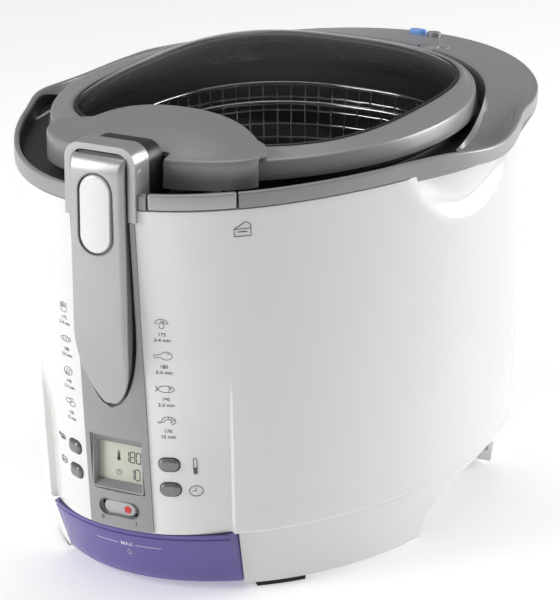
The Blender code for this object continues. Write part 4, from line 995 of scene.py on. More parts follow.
# ---------------------------------------------------------------- controls
@dataclass
class Display:
    """Recessed display: lining, frame, lit ground with its digits and the glass in front."""

    window_y: float = -0.1762
    digit: Flat = (0.0027, 0.0060)
    line: float = 0.00055

    def lining(self) -> None:
        """Walls of the recess, made dark grey as painted shade, and the frame round the display."""
        half, low, high = DISPLAY_BOX
        border = half + 0.0036
        rows = []
        for z in (low - 0.004, low + 0.016, high + 0.004):
            stations = [mix(-border, border, i / 12) for i in range(13)]
            front = [Vector((x, FORM.front_y(x, z, 0.003), z)) for x in stations]
            rows.append(front + [Vector((x, -0.1672, z)) for x in stations[::-1]])
        # the lining's dark grey stands for the shade on the recess walls
        lining = add_piece("recess_shaded_lining", Skin(rows[0]).cap().draw(rows[1:]).cap().weld(), Finish.DARK_GREY, "base",
                           ["display_bezel"])
        carve(lining, [guide(block((-half, -0.25, low), (half, -0.14, high)))])
        outer, inner = (half - 0.0004, low + 0.0004, high - 0.0004), (0.0140, 0.0640, 0.0860)
        skin = Skin(self._frame(outer, -0.1762))
        skin.draw([self._frame(outer, -0.1812), self._frame((half - 0.0012, low + 0.0014, high - 0.0014), -0.1812),
                   self._frame((0.0144, 0.0634, 0.0866), -0.1784), self._frame(inner, -0.1774),
                   self._frame(inner, -0.1762), self._frame(outer, -0.1762)])
        add_piece("recess_frame", skin.weld(), Finish.GREY, "base", sharp=25.0)

    def _frame(self, size: Point, y: float) -> list[Vector]:
        """Rounded rectangle at a depth."""
        half, low, high = size
        return [Vector((x, y, z)) for x, z in pill((0.0, (low + high) / 2.0), half, (high - low) / 2.0, 0.0008, 4)]

    def segments(self, figure: str) -> str:
        """Lit segments of a figure, a to g."""
        return {"0": "abcdef", "1": "bc", "8": "abcdefg"}[figure]

    def figure(self, figure: str, corner: Flat) -> list[list[Flat]]:
        """Six-sided bars of a figure at its lower left corner."""
        width, height = self.digit
        ends = {"a": ((0, 1), (1, 1)), "b": ((1, 1), (1, 0.5)), "c": ((1, 0.5), (1, 0)), "d": ((0, 0), (1, 0)),
                "e": ((0, 0.5), (0, 0)), "f": ((0, 1), (0, 0.5)), "g": ((0, 0.5), (1, 0.5))}
        bars = []
        for name in self.segments(figure):
            (u0, v0), (u1, v1) = ends[name]
            start = Vector((corner[0] + u0 * width, corner[1] + v0 * height))
            finish = Vector((corner[0] + u1 * width, corner[1] + v1 * height))
            along = (finish - start).normalized()
            side = Vector((-along.y, along.x)) * self.line / 2.0
            tip, gap = along * self.line / 2.0, along * 0.00008
            start, finish = start + gap, finish - gap
            bars.append([(p.x, p.y) for p in (start, start + tip + side, finish - tip + side, finish,
                                              finish - tip - side, start + tip - side)])
        return bars

    def digits(self) -> None:
        """Both readings with their signs."""
        front = self.window_y - 0.00022
        solid = bmesh.new()
        outlines = []
        for i, figure in enumerate("180"):
            outlines += self.figure(figure, (0.0012 + 0.0037 * i, 0.0757))
        for i, figure in enumerate("10"):
            outlines += self.figure(figure, (0.0042 + 0.0037 * i, 0.0661))
        outlines += [circle((-0.0022, 0.0766), 0.00105, 20), pill((-0.0022, 0.0785), 0.00038, 0.0019, 0.0003, 3)]
        for outline in outlines:
            piece = prism(outline, "y", front + 0.00012, front + 0.00028)
            data = bpy.data.meshes.new("figure")
            piece.to_mesh(data)
            piece.free()
            solid.from_mesh(data)
            bpy.data.meshes.remove(data)
        add_piece("display_figures", solid, Finish.INK, "base")
        ring = [Vector((x, front + 0.0002, z)) for x, z in circle((-0.0022, 0.0690), 0.0015, 28)]
        hands = [Vector((-0.0022, front + 0.0002, 0.0699)), Vector((-0.0022, front + 0.0002, 0.0690)),
                 Vector((-0.0016, front + 0.0002, 0.0690))]
        tube = [Vector((x, front + 0.0002, z)) for x, z in pill((-0.0022, 0.0790), 0.00065, 0.0026, 0.00065, 5)]
        wire("display_signs", [(ring, True), (hands, False), (tube, True)], 0.00014, Finish.INK, "base",
             1)
        letter(["°C"], [(0.0140, 0.0762)], 0.0018, "display_unit_heat", Finish.INK, "base",
               lambda x, z: front + 0.0002)
        letter(["min"], [(0.0136, 0.0664)], 0.0017, "display_unit_time", Finish.INK, "base",
               lambda x, z: front + 0.0002)

    def build(self) -> None:
        """Make the whole display."""
        half, low, high = DISPLAY_BOX
        self.lining()
        back = self.window_y + 0.0015
        add_piece("display_ground", block((-half + 0.0003, back, low + 0.0003),
                                          (half - 0.0003, -0.1672, high - 0.0003), 0.0002),
                  Finish.LCD, "base", ["display_module"])
        add_piece("display_pane", block((-half + 0.0004, self.window_y, low + 0.0004),
                                        (half - 0.0004, self.window_y + 0.0010, high - 0.0004), 0.0002),
                  Finish.LCD, "base", ["display_window"])
        self.digits()


@dataclass
class Buttons:
    """Four push buttons and the power slider with its red mark."""

    rim: float = 0.0023

    def build(self) -> None:
        """Make every key."""
        for name, x, z in BUTTONS:
            outline = pill((x, z), 0.0050, 0.0038, 0.0034, 10)
            mesh = slab(outline, lambda px, pz: FORM.front_y(px, pz, -0.0021), lambda px, pz: -0.1697, self.rim, 7)
            add_piece(f"{name}_key", mesh, Finish.KEY, name, [name], 60.0)
            # the black ring round each key is painted shade, the shadow in the gap between key and shell
            ring = pill((x, z), 0.0052, 0.0040, 0.0036, 10)
            paths = [([Vector((px, FORM.front_y(px, pz, -0.00002), pz)) for px, pz in ring], True)]
            wire(f"{name}_gap", paths, 0.00028, Finish.BLACK, "base", 1)
        self.slider()

    def slider(self) -> None:
        """Rounded sliding key in its track."""
        outline = pill((0.0, SWITCH_Z), 0.0098, 0.0041, 0.0041, 12)
        mesh = slab(outline, lambda px, pz: FORM.front_y(px, pz, -0.0009 + 0.0004), lambda px, pz: -0.1745, 0.0010, 5)
        add_piece("power_slider_key", mesh, Finish.SILVER, "power_slider", ["power_slider"])
        dot = slab(circle((0.0052, SWITCH_Z), 0.0022, 36), lambda px, pz: FORM.front_y(px, pz, -0.00065),
                   lambda px, pz: FORM.front_y(px, pz, 0.0002), 0.0002, 2)
        add_piece("power_slider_mark", dot, Finish.RED, "power_slider")
        # the dark grey ring round the slider's track is painted shade at the track's edge
        track = pill((0.0, SWITCH_Z), 0.0121, 0.0046, 0.0046, 12)
        path = [Vector((x, FORM.front_y(x, z, -0.0015), z)) for x, z in track]
        wire("power_track_shade_edge", [(path, True)], 0.00035, Finish.DARK_GREY, "base", 1)
        back = block((-0.0140, -0.1741, SWITCH_Z - 0.0055), (0.0140, -0.1630, SWITCH_Z + 0.0055), 0.0003)
        add_piece("power_switch_block", back, Finish.BLACK, "base", ["switch_block"])


# ---------------------------------------------------------------- printed marks
def letter(texts: Sequence[str], places: Sequence[Flat], size: float, name: str, finish: Finish, body: str,
           surface: Callable[[float, float], float]) -> None:
    """Flat letters laid on a surface that faces the front.

    Args:
        texts: the words or numbers.
        places: middle of each in X and Z.
        size: height of the letters.
        name: the piece's name.
        finish: the ink.
        body: the body that carries them.
        surface: Y of the surface at a place.
    """
    whole = bmesh.new()
    for text, (x, z) in zip(texts, places):
        curve = bpy.data.curves.new("letters", "FONT")
        curve.body = text
        curve.size = size
        curve.align_x = "CENTER"
        curve.align_y = "CENTER"
        curve.offset = size * 0.01
        holder = bpy.data.objects.new("letters", curve)
        bpy.context.scene.collection.objects.link(holder)
        graph = bpy.context.evaluated_depsgraph_get()
        graph.update()
        data = bpy.data.meshes.new_from_object(holder.evaluated_get(graph))
        bpy.data.objects.remove(holder, do_unlink=True)
        for vert in data.vertices:
            u, v = vert.co.x + x, vert.co.y + z
            vert.co = (u, surface(u, v), v)
        whole.from_mesh(data)
        bpy.data.meshes.remove(data)
    add_piece(name, whole, finish, body)


def bend(points: Sequence[Flat], centre: Flat, scale: float) -> list[Flat]:
    """Points of a sign at its place."""
    return [(centre[0] + u * scale, centre[1] + v * scale) for u, v in points]


def arc(centre: Flat, radius: Flat, start: float, end: float, count: int = 14) -> list[Flat]:
    """Part of an ellipse, in degrees."""
    turns = [math.radians(mix(start, end, i / count)) for i in range(count + 1)]
    return [(centre[0] + radius[0] * math.cos(t), centre[1] + radius[1] * math.sin(t)) for t in turns]


class Sign(Enum):
    """Line drawings of food and settings, in millimetres."""

    FISH = (arc((0.4, 0.0), (4.2, 2.0), 150, -150, 26) + [(-5.2, 1.9), (-4.6, 0.0), (-5.2, -1.9)] + [(-3.24, 1.0)],
            arc((2.8, 0.5), (0.3, 0.3), 0, 360, 8), arc((1.2, 0.0), (0.9, 1.5), -70, 70, 6))
    DRUMSTICK = (arc((1.6, 0.3), (3.0, 2.4), -150, 160, 22) + [(-4.0, 0.6), (-4.7, 1.2), (-5.1, 0.4), (-4.7, -0.3),
                                                              (-5.0, -1.1), (-4.2, -1.3), (-3.6, -0.6), (-1.0, -0.9)],
                 arc((2.2, 0.6), (1.4, 1.0), 20, 120, 6))
    SHRIMP = (arc((0.6, 0.0), (3.6, 2.5), 200, -60, 24) + arc((0.4, -0.3), (1.9, 1.1), -40, 190, 14)
              + [(-3.2, -1.0), (-4.8, -0.4), (-5.0, -1.6), (-2.8, -0.9)],
              [(0.6, 2.5), (0.5, 0.9)], [(2.6, 2.0), (1.6, 0.5)], [(3.9, 0.6), (2.2, -0.1)])
    MUSHROOM = (arc((0.0, 0.3), (3.4, 2.6), 0, 180, 18) + [(-3.4, 0.3), (3.4, 0.3)],
                [(-1.1, 0.3), (-1.3, -2.0), (-0.6, -2.6), (0.6, -2.6), (1.3, -2.0), (1.1, 0.3)],
                arc((0.6, 1.4), (0.9, 0.6), 0, 360, 10))
    CHIPS = ([(-2.4, 0.2), (-1.8, -2.8), (1.8, -2.8), (2.4, 0.2), (-2.4, 0.2)],
             [(-2.0, 0.2), (-2.6, 2.4), (-1.7, 2.6), (-1.2, 0.2)], [(-0.5, 0.2), (-0.6, 3.0), (0.3, 3.0), (0.4, 0.2)],
             [(0.9, 0.2), (1.6, 2.6), (2.5, 2.2), (1.9, 0.2)])
    RING = (arc((0.0, 0.0), (3.3, 2.5), 0, 360, 26), arc((0.2, 0.2), (1.5, 1.0), 0, 360, 16),
            arc((0.0, 0.0), (2.5, 1.8), 200, 300, 8))
    PIECES = (arc((-1.5, 0.8), (2.2, 1.5), 0, 360, 18), arc((1.6, -0.6), (2.3, 1.6), 0, 360, 18),
              arc((1.2, 1.9), (1.3, 0.9), 0, 180, 8))
    FILLET = (arc((0.0, 0.0), (4.2, 1.6), 0, 360, 22), [(-2.2, 0.8), (-1.4, -0.9)], [(0.0, 1.1), (0.8, -1.1)],
              [(2.2, 0.9), (2.8, -0.7)])
    THERMOMETER = (pill((0.0, 0.8), 0.75, 4.4, 0.75, 6) + [(0.75, 4.45)], [(-0.75, -0.2), (0.75, -0.2)],
                   [(0.0, -0.6), (0.0, -3.0)], [(-0.35, -0.6), (-0.35, -3.0)], [(0.35, -0.6), (0.35, -3.0)])
    CLOCK = (arc((0.0, 0.0), (3.0, 3.0), 0, 360, 34), [(0.0, 2.0), (0.0, 0.0), (-1.6, 0.0)])
    LEAF_FILTER = (arc((0.6, 0.0), (2.4, 1.5), 0, 360, 20), [(-3.6, 1.4), (-2.6, 1.0), (-1.4, -0.6), (2.6, -0.9)],
                   [(0.4, 0.9), (1.4, 0.0)], [(-3.6, 1.4), (-3.4, -0.4)])
    DISH = ([(-2.6, 1.7), (-2.6, -1.0), (-1.8, -1.8), (1.8, -1.8), (2.6, -1.0), (2.6, 1.7), (-2.6, 1.7)],
            [(-1.4, 0.4), (-1.4, -0.7)], [(0.0, 0.4), (0.0, -0.7)], [(1.4, 0.4), (1.4, -0.7)])
    OPEN_LID = ([(-3.2, -3.4), (3.2, -3.4), (3.2, 0.6), (-3.2, 0.6), (-3.2, -3.4)],
                [(-3.2, 0.6), (1.4, 4.4), (3.2, 2.6), (3.2, 0.6)], [(-1.8, -1.0), (1.8, -1.0)])
    DROP = (arc((0.0, -0.5), (1.0, 1.0), -210, 30, 14) + [(0.0, 1.7), (-0.87, 0.0)],)


@dataclass
class Marks:
    """Printed signs and numbers on the front."""

    lift: float = 0.00003
    rows: tuple[float, ...] = (0.1600, 0.1417, 0.1230, 0.1046)

    def draw(self, name: str, signs: Sequence[tuple[Sign, Flat, float]], finish: Finish, width: float) -> None:
        """Draw line signs on the body's front."""
        paths = []
        for sign, centre, scale in signs:
            for points in sign.value:
                placed = bend(points, centre, 0.001 * scale)
                paths.append(([Vector((x, FORM.front_y(x, z, -self.lift), z)) for x, z in placed], False))
        wire(name, paths, width, finish, "base", 1)

    def build(self) -> None:
        """Print everything."""
        right = (Sign.MUSHROOM, Sign.DRUMSTICK, Sign.FISH, Sign.SHRIMP)
        left = (Sign.CHIPS, Sign.FILLET, Sign.RING, Sign.PIECES)
        signs = [(sign, (0.0295, z), 0.95) for sign, z in zip(right, self.rows)]
        signs += [(sign, (-0.0300, z), 0.95) for sign, z in zip(left, self.rows)]
        self.draw("food_signs", signs, Finish.INK, 0.00016)
        heat, time = ("175", "180", "190", "170"), ("3-4 min", "5-6 min", "2-3 min", "15 min")
        texts, places = [], []
        for side in (-0.0300, 0.0295):
            for z, first, second in zip(self.rows, heat, time):
                texts += [first, second]
                places += [(side, z - 0.0060), (side, z - 0.0093)]
        letter(texts, places, 0.0027, "food_numbers", Finish.INK, "base",
               lambda x, z: FORM.front_y(x, z, -0.0001))
        self.draw("setting_signs", [(Sign.THERMOMETER, (0.0410, 0.0772), 1.05), (Sign.CLOCK, (0.0408, 0.0636), 1.0),
                                    (Sign.LEAF_FILTER, (-0.0408, 0.0806), 0.95),
                                    (Sign.DISH, (-0.0404, 0.0670), 0.95)],
                  Finish.INK, 0.00017)
        self.draw("lid_sign", [(Sign.OPEN_LID, (0.0665, 0.2110), 1.0)], Finish.INK, 0.00018)
        letter(["0", "I"], [(-0.0102, 0.0433), (0.0102, 0.0424)], 0.0034, "switch_marks", Finish.INK, "base",
               lambda x, z: FORM.front_y(x, z, -0.0016))


# ---------------------------------------------------------------- handle
def round_edges(mesh: bmesh.types.BMesh, width: float, segments: int = 3, angle: float = 50.0) -> bmesh.types.BMesh:
    """Round the edges that turn more than an angle."""
    bmesh.ops.recalc_face_normals(mesh, faces=mesh.faces)
    edges = [edge for edge in mesh.edges if edge.is_manifold and edge.calc_face_angle(0.0) > math.radians(angle)]
    bmesh.ops.bevel(mesh, geom=edges, offset=width, offset_type="OFFSET", affect="EDGES", segments=segments,
                    profile=0.5, material=-1, clamp_overlap=True)
    return mesh


@dataclass
class Handle:
    """Folding basket handle: silver cover, grey core, white release button and its bracket."""

    half_width: float = 0.016
    tip: float = 0.1115
    pivot_y: float = -0.1896
    pivot_z: float = 0.2412
    nose: float = 0.0102
    layer: float = 0.0062
    release: Flat = (0.198, 0.241)
    release_half: float = 0.0096
    bracket_half: float = 0.021

    def width(self, z: float) -> float:
        """Half width at a height."""
        rise = min(max((z - self.tip) / 0.0500, 0.0), 1.0)
        return self.half_width * math.sqrt(1.0 - (1.0 - rise) ** 2.4)

    def front(self, z: float) -> float:
        """Y of the front face."""
        drop = max(0.0, (self.pivot_z - z) / (self.pivot_z - self.tip))
        line = self.pivot_y - self.nose + 0.0020 * drop
        return line + 0.0105 * ease((self.tip + 0.045 - z) / 0.045) ** 1.3

    def back(self, z: float) -> float:
        """Y of the back face."""
        return self.pivot_y + 0.0024 + 0.0022 * ease((0.165 - z) / 0.060)

    def split(self, z: float) -> float:
        """Y where the cover meets the core."""
        return self.front(z) + min(self.layer, 0.5 * (self.back(z) - self.front(z)))

    def section(self, z: float, half: float, front: float, back: float, crown: float = 0.0,
                seam: float = 0.0) -> list[Vector]:
        """Rounded section at a height with a slightly crowned front and a drawn-in seam edge."""
        deep = (back - front) / 2.0
        radius = min(0.0030, 0.46 * 2.0 * deep, 0.9 * half)
        points = []
        for x, y in pill((0.0, (front + back) / 2.0), half, deep, radius, 6):
            share = (y - front) / (back - front)
            y -= crown * (1.0 - (x / half) ** 2) * (1.0 - ease(share * 2.0))
            points.append(Vector((x * (1.0 - seam * ease((share - 0.75) * 4.0)), y, z)))
        return points

    def levels(self) -> list[float]:
        """Heights from the tip, close together where it is round."""
        span = self.pivot_z - self.tip
        return [self.tip + span * (0.006 + 0.924 * (i / 56) ** 1.7) for i in range(57)]

    def layers(self) -> tuple[list[list[Vector]], list[list[Vector]]]:
        """Sections of the cover and of the core."""
        cover = [self.section(z, self.width(z), self.front(z), self.split(z), 0.0005) for z in self.levels()]
        core = [self.section(z, max(self.width(z) - 0.0007, 0.3 * self.width(z)), self.split(z) + 0.0003,
                             self.back(z)) for z in self.levels()]
        edge = self.pivot_y - self.nose + self.layer
        for step in range(25):
            turn = math.radians(mix(-50.0, 78.0, step / 24))
            z, reach = self.pivot_z + self.nose * math.sin(turn), self.nose * math.cos(turn)
            front = self.pivot_y - (self.nose if turn < 0 else reach)
            if front < edge - 0.001:
                cover.append(self.section(z, self.half_width, front, edge, 0.0004))
            core.append(self.section(z, self.half_width - 0.0007, max(edge + 0.0003, front), self.pivot_y + reach))
        return cover, core

    def blade(self) -> None:
        """Model the cover with the button's recess, and the core."""
        middle = (0.0, sum(self.release) / 2.0)
        half_height = (self.release[1] - self.release[0]) / 2.0
        cover, core = self.layers()
        shell = add_piece("handle_front_shell", Skin(cover[0]).cap().draw(cover[1:]).cap().weld(), Finish.SILVER,
                          "handle", ["handle_cover"])
        floor = self.pivot_y - self.nose + 0.0044
        recess = pill(middle, self.release_half + 0.0003, half_height + 0.0003, self.release_half + 0.0003, 16)
        carve(shell, [guide(prism(recess, "y", -0.22, floor))])
        inner = add_piece("handle_back_shell", Skin(core[0]).cap().draw(core[1:]).cap().weld(), Finish.DARK_GREY,
                          "handle", ["handle_core"])
        carve(inner, [guide(prism(circle((self.pivot_y, self.pivot_z), 0.0025), "x", -0.03, 0.03))])
        outline = pill(middle, self.release_half - 0.0003, half_height - 0.0003, self.release_half - 0.0003, 18)
        front = self.pivot_y - self.nose

        def face(x: float, z: float) -> float:
            away = abs(z - middle[1]) / half_height
            return front - 0.0010 + 0.0006 * (x / self.release_half) ** 2 + 0.0004 * away ** 2
        add_piece("release_button", slab(outline, face, lambda x, z: floor - 0.0015, 0.0016, 6), Finish.PALE,
                  "handle_release", ["handle_release"])
        # the dark grey ring round the release button is painted shade in the gap round it
        gap = self.release_half + 0.0004
        ring = [Vector((x, front - 0.00025, z))
                for x, z in pill(middle, gap, half_height + 0.0004, gap, 16)]
        wire("release_gap_shade", [(ring, True)], 0.0004, Finish.DARK_GREY, "handle", 2)

    def bracket(self) -> None:
        """Arched bracket that carries the handle."""
        low, top, side, radius = 0.2160, 0.2552, self.bracket_half, 0.009
        outline = [(-side, low), (side, low)]
        outline += [(side - radius + radius * math.cos(math.radians(a)),
                     top - radius + radius * math.sin(math.radians(a))) for a in range(0, 91, 6)]
        outline += [(-side + radius - radius * math.sin(math.radians(a)),
                     top - radius + radius * math.cos(math.radians(a))) for a in range(0, 91, 6)]
        mesh = round_edges(prism(outline, "y", -0.1945, -0.1800), 0.0019, 5)
        bracket = add_piece("handle_arch", mesh, Finish.SILVER, "base", ["handle_bracket"])
        inner, roof = side - 0.0045, self.pivot_z + self.nose + 0.0005
        hole = [(x, z) for x, z in pill((0.0, (0.190 + roof) / 2.0), inner, (roof - 0.190) / 2.0, 0.0060, 8)]
        carve(bracket, [guide(prism(hole, "y", -0.25, -0.15)),
                        guide(prism(circle((self.pivot_y, self.pivot_z), 0.0025), "x", -0.03, 0.03))])
        back = prism([(x * 0.94, 0.2160 + (z - 0.2160) * 0.93) for x, z in outline], "y", -0.1812, -0.1640)
        add_piece("handle_arch_back", round_edges(back, 0.0012, 3), Finish.BLACK, "base")
        for side_sign in (-1, 1):
            x = side_sign * (self.bracket_half - 0.0004)
            cap = prism(circle((self.pivot_y, self.pivot_z), 0.0026, 28), "x", x - 0.0006, x + 0.0005)
            add_piece(f"pivot_cap_{'left' if side_sign < 0 else 'right'}", round_edges(cap, 0.0003, 2), Finish.SILVER,
                      "base")

    def build(self) -> None:
        """Make the handle and its bracket."""
        self.blade()
        self.bracket()


# ---------------------------------------------------------------- lid
@dataclass
class Lid:
    """Grey ring, domed window, crowned cover over the front, arms and catch."""

    size: Flat = (0.1123, 0.1415)
    centre_y: float = -0.0145
    bottom: float = 0.2283
    top: float = 0.2420
    window: Flat = (0.092, 0.115)
    window_y: float = -0.010
    power: float = 2.8
    dome: float = 0.016
    glass: float = 0.0024
    hinge: Flat = (0.134, 0.2315)
    angles: list[float] = field(default_factory=lambda: even_angles(256))

    def outside(self, inset: float, z: float) -> list[Vector]:
        """Ring of the lid's outside."""
        return oval(self.size[0] - inset, self.size[1] - inset, self.centre_y, z, angles=self.angles)

    def pane(self, scale: float, z: float, trim: float = 0.0) -> list[Vector]:
        """Ring of the window's outline."""
        return oval((self.window[0] - trim) * scale, (self.window[1] - trim) * scale, self.window_y, z, self.power,
                    self.angles)

    def dome_z(self, scale: float) -> float:
        """Height of the window's outside."""
        return self.top - 0.0004 + self.dome * (1.0 - scale ** 4)

    def ring(self) -> None:
        """Grey ring round the window."""
        edge = self.outside(0.0050, self.top - 0.0022)
        lip = self.pane(1.0, self.top, -0.0028)
        profile = [(0.0005, 0.0), (0.0001, 0.0003), (0.0, 0.0008), (0.0004, 0.0036), (0.0008, 0.0064),
                   (0.0012, 0.0092), (0.0014, 0.0099), (0.0018, 0.0104), (0.0024, 0.0107), (0.0036, 0.0111)]
        rings = [self.outside(inset, self.bottom + rise) for inset, rise in profile]
        rings += [edge, *[blend_rings(edge, lip, share) for share in (0.3, 0.6, 0.85)], lip]
        rings += [self.pane(1.0, self.top - 0.0001, -0.0016), self.pane(1.0, self.top - 0.0004, -0.0008),
                  self.pane(1.0, self.top - 0.0010, -0.0004), self.pane(1.0, self.top - 0.0034, -0.0004),
                  self.outside(0.012, self.top - 0.0052), self.outside(0.0034, self.bottom + 0.0060),
                  self.outside(0.0025, self.bottom)]
        piece = add_piece("lid_outer_ring", tube_ring(rings), Finish.LID_GREY, "lid", ["lid_ring"])
        carve(piece, [guide(block((x - 0.0065, 0.09, self.bottom - 0.002), (x + 0.0065, 0.15, self.bottom + 0.0053)))
                      for x in (-0.030, 0.030)])

    def pane_piece(self) -> None:
        """Domed window."""
        scales = [1.0, 0.995, 0.985, 0.97, 0.95, 0.92, 0.88, 0.83, 0.77, 0.70, 0.62, 0.53, 0.43, 0.32, 0.20, 0.08]
        rings = [self.pane(scale, self.dome_z(scale) - self.glass, 0.0012 * scale) for scale in scales[::-1]]
        rings += [self.pane(1.0, self.top - 0.0030), self.pane(1.0, self.top - 0.0004)]
        rings += [self.pane(scale, self.dome_z(scale)) for scale in scales[1:]]
        add_piece("lid_pane", Skin(rings[0]).cap().draw(rings[1:]).cap().weld(), Finish.WINDOW, "lid",
                  ["lid_window"], 60.0)
        inner = [self.pane(1.0, self.top + 0.0001, -0.0003), self.pane(1.0, self.top + 0.0005, 0.0004),
                 self.pane(1.0, self.top + 0.0003, 0.0012), self.pane(1.0, self.top - 0.0010, 0.0012),
                 self.pane(1.0, self.top - 0.0010, -0.0003)]
        add_piece("window_gasket", tube_ring(inner), Finish.BLACK, "lid")

    def support(self, x: float, y: float) -> float:
        """Top of the ring or the window at a place."""
        scale = ((abs(x) / self.window[0]) ** self.power
                 + (abs(y - self.window_y) / self.window[1]) ** self.power) ** (1.0 / self.power)
        return self.dome_z(scale) if scale < 1.0 else self.top

    def cover_place(self, column: float, share: float) -> Vector:
        """Point of the cover: share below 0 runs down its front edge."""
        half, front, corner, apex, edge_z, wall = 0.0645, -0.168, -0.1403, -0.104, 0.2435, 0.0022
        x = half * column
        edge = corner + (front - corner) * (1.0 - abs(column) ** 2.6) ** 0.7
        arc_y = corner + 0.002 + (apex - corner - 0.002) * math.sqrt(max(1.0 - column ** 2, 0.0))
        arc_z = max(edge_z - 0.0005, self.support(x, arc_y) + 0.0005 + wall)
        if share < 0.0:
            turn = min(-share, 0.4) / 0.4
            radius = 0.0026
            if -share <= 0.4:
                return Vector((x, edge + 0.0022 - radius * math.sin(turn * math.pi / 2.0) * 0.92,
                               edge_z - radius * (1.0 - math.cos(turn * math.pi / 2.0))))
            low = (-share - 0.4) / 0.6
            return Vector((x, edge - 0.0002 + 0.0002 * low, mix(edge_z - radius, self.bottom - 0.0005, low)))
        y = edge + 0.0022 + (arc_y - edge - 0.0022) * share
        z = edge_z + (arc_z - edge_z) * share + 0.0035 * math.sin(math.pi * share) * (1.0 - column ** 2)
        return Vector((x, y, z))

    def cover(self) -> None:
        """Crowned cover over the front."""
        columns, rows = 96, 34
        mesh = bmesh.new()
        bmesh.ops.create_grid(mesh, x_segments=columns, y_segments=rows, size=0.5)
        for vert in mesh.verts:
            column = 0.994 * math.sin(vert.co.x * math.pi)
            place = vert.co.y + 0.5
            share = (place - 0.35) / 0.65 if place >= 0.35 else (place - 0.35) / 0.35
            vert.co = self.cover_place(max(min(column, 1.0), -1.0), share)
        bmesh.ops.remove_doubles(mesh, verts=mesh.verts, dist=1e-6)
        bmesh.ops.recalc_face_normals(mesh, faces=mesh.faces)
        piece = add_piece("lid_front_cover", mesh, Finish.GREY, "lid", ["lid_cover"])
        if sum(polygon.normal.z for polygon in piece.data.polygons) < 0.0:
            piece.data.flip_normals()
        wall = piece.modifiers.new("wall", "SOLIDIFY")
        wall.thickness = 0.0021
        wall.offset = -1.0
        wall.use_even_offset = False
        settle(piece)
        carve(piece, [guide(block((-0.0218, -0.25, 0.20), (0.0218, -0.1598, 0.27)))])

    def arms(self) -> None:
        """Hinge arms with round hubs."""
        y, z = self.hinge
        top = self.bottom + 0.0050
        for name, x in (("left", -0.030), ("right", 0.030)):
            outline = [(y - 0.0146, self.bottom + 0.0003), (y - 0.001, self.bottom + 0.0003)]
            outline += [(y + 0.0055 * math.sin(math.radians(a)), z - 0.0055 * math.cos(math.radians(a)))
                        for a in range(30, 271, 8)]
            outline += [(y - 0.0061, top), (y - 0.0146, top)]
            arm = add_piece(f"lid_arm_{name}", round_edges(prism(outline, "x", x - 0.006, x + 0.006), 0.0006, 3),
                            Finish.GREY, "lid", [f"hinge_arm_{name}"])
            carve(arm, [guide(prism(circle((y, z), 0.0023), "x", -0.06, 0.06))])

    def release_bar(self) -> None:
        """Release bar in the rim band."""
        outer, inner = release_rings(0.0001, 0.004, 0.0)
        outline = [(point.x, point.y) for point in outer + inner[::-1]]
        bar = round_edges(prism(outline, "z", 0.2228, 0.2312), 0.0010, 4)
        add_piece("release_bar_key", bar, Finish.SILVER, "lid_release", ["lid_release_bar"])

    def build(self) -> None:
        """Make the whole lid."""
        self.ring()
        self.pane_piece()
        self.cover()
        self.arms()
        self.release_bar()


# ---------------------------------------------------------------- pot, basket and tray
@dataclass
class Pot:
    """Coated frying pot with its rim and level lines."""

    bottom: float = 0.080
    wall: float = 0.0015
    hang: float = 0.2213
    angles: list[float] = field(default_factory=lambda: even_angles(200))

    def ring(self, z: float, inset: float = 0.0) -> list[Vector]:
        """Ring of the outside; the walls draw in towards the bottom."""
        draw = 0.010 * max((self.hang - z) / (self.hang - self.bottom), 0.0) + inset
        return oval(0.099 - draw, 0.123 - draw, -0.012, z, 2.4, self.angles)

    def build(self) -> None:
        """Model the pot."""
        under = self.hang + 0.0003
        top = under + self.wall
        outside = [(self.bottom, 0.012), (self.bottom + 0.0007, 0.0070), (self.bottom + 0.0025, 0.0030),
                   (self.bottom + 0.0058, 0.0008), (self.bottom + 0.010, 0.0), (0.150, 0.0), (under - 0.001, 0.0),
                   (under, 0.0), (under, -0.0055), (top, -0.0055), (top, 0.0005), (top - 0.0006, self.wall)]
        inside = [(mix(top - 0.0006, self.bottom + 0.010, i / 12), self.wall) for i in range(1, 13)]
        inside += [(self.bottom + 0.0062, self.wall + 0.0008), (self.bottom + 0.0037, self.wall + 0.0030),
                   (self.bottom + 0.0021, self.wall + 0.0066), (self.bottom + self.wall, 0.0135)]
        rings = [self.ring(z, inset) for z, inset in outside + inside]
        add_piece("coated_pot", Skin(rings[0]).cap().draw(rings[1:]).cap().weld(), Finish.POT, "base",
                  ["inner_pot"], 50.0)
        lines = [(self.ring(z, self.wall + 0.0001), True) for z in (0.118, 0.152)]
        wire("pot_level_lines", lines, 0.0003, Finish.STEEL, "base", 1)


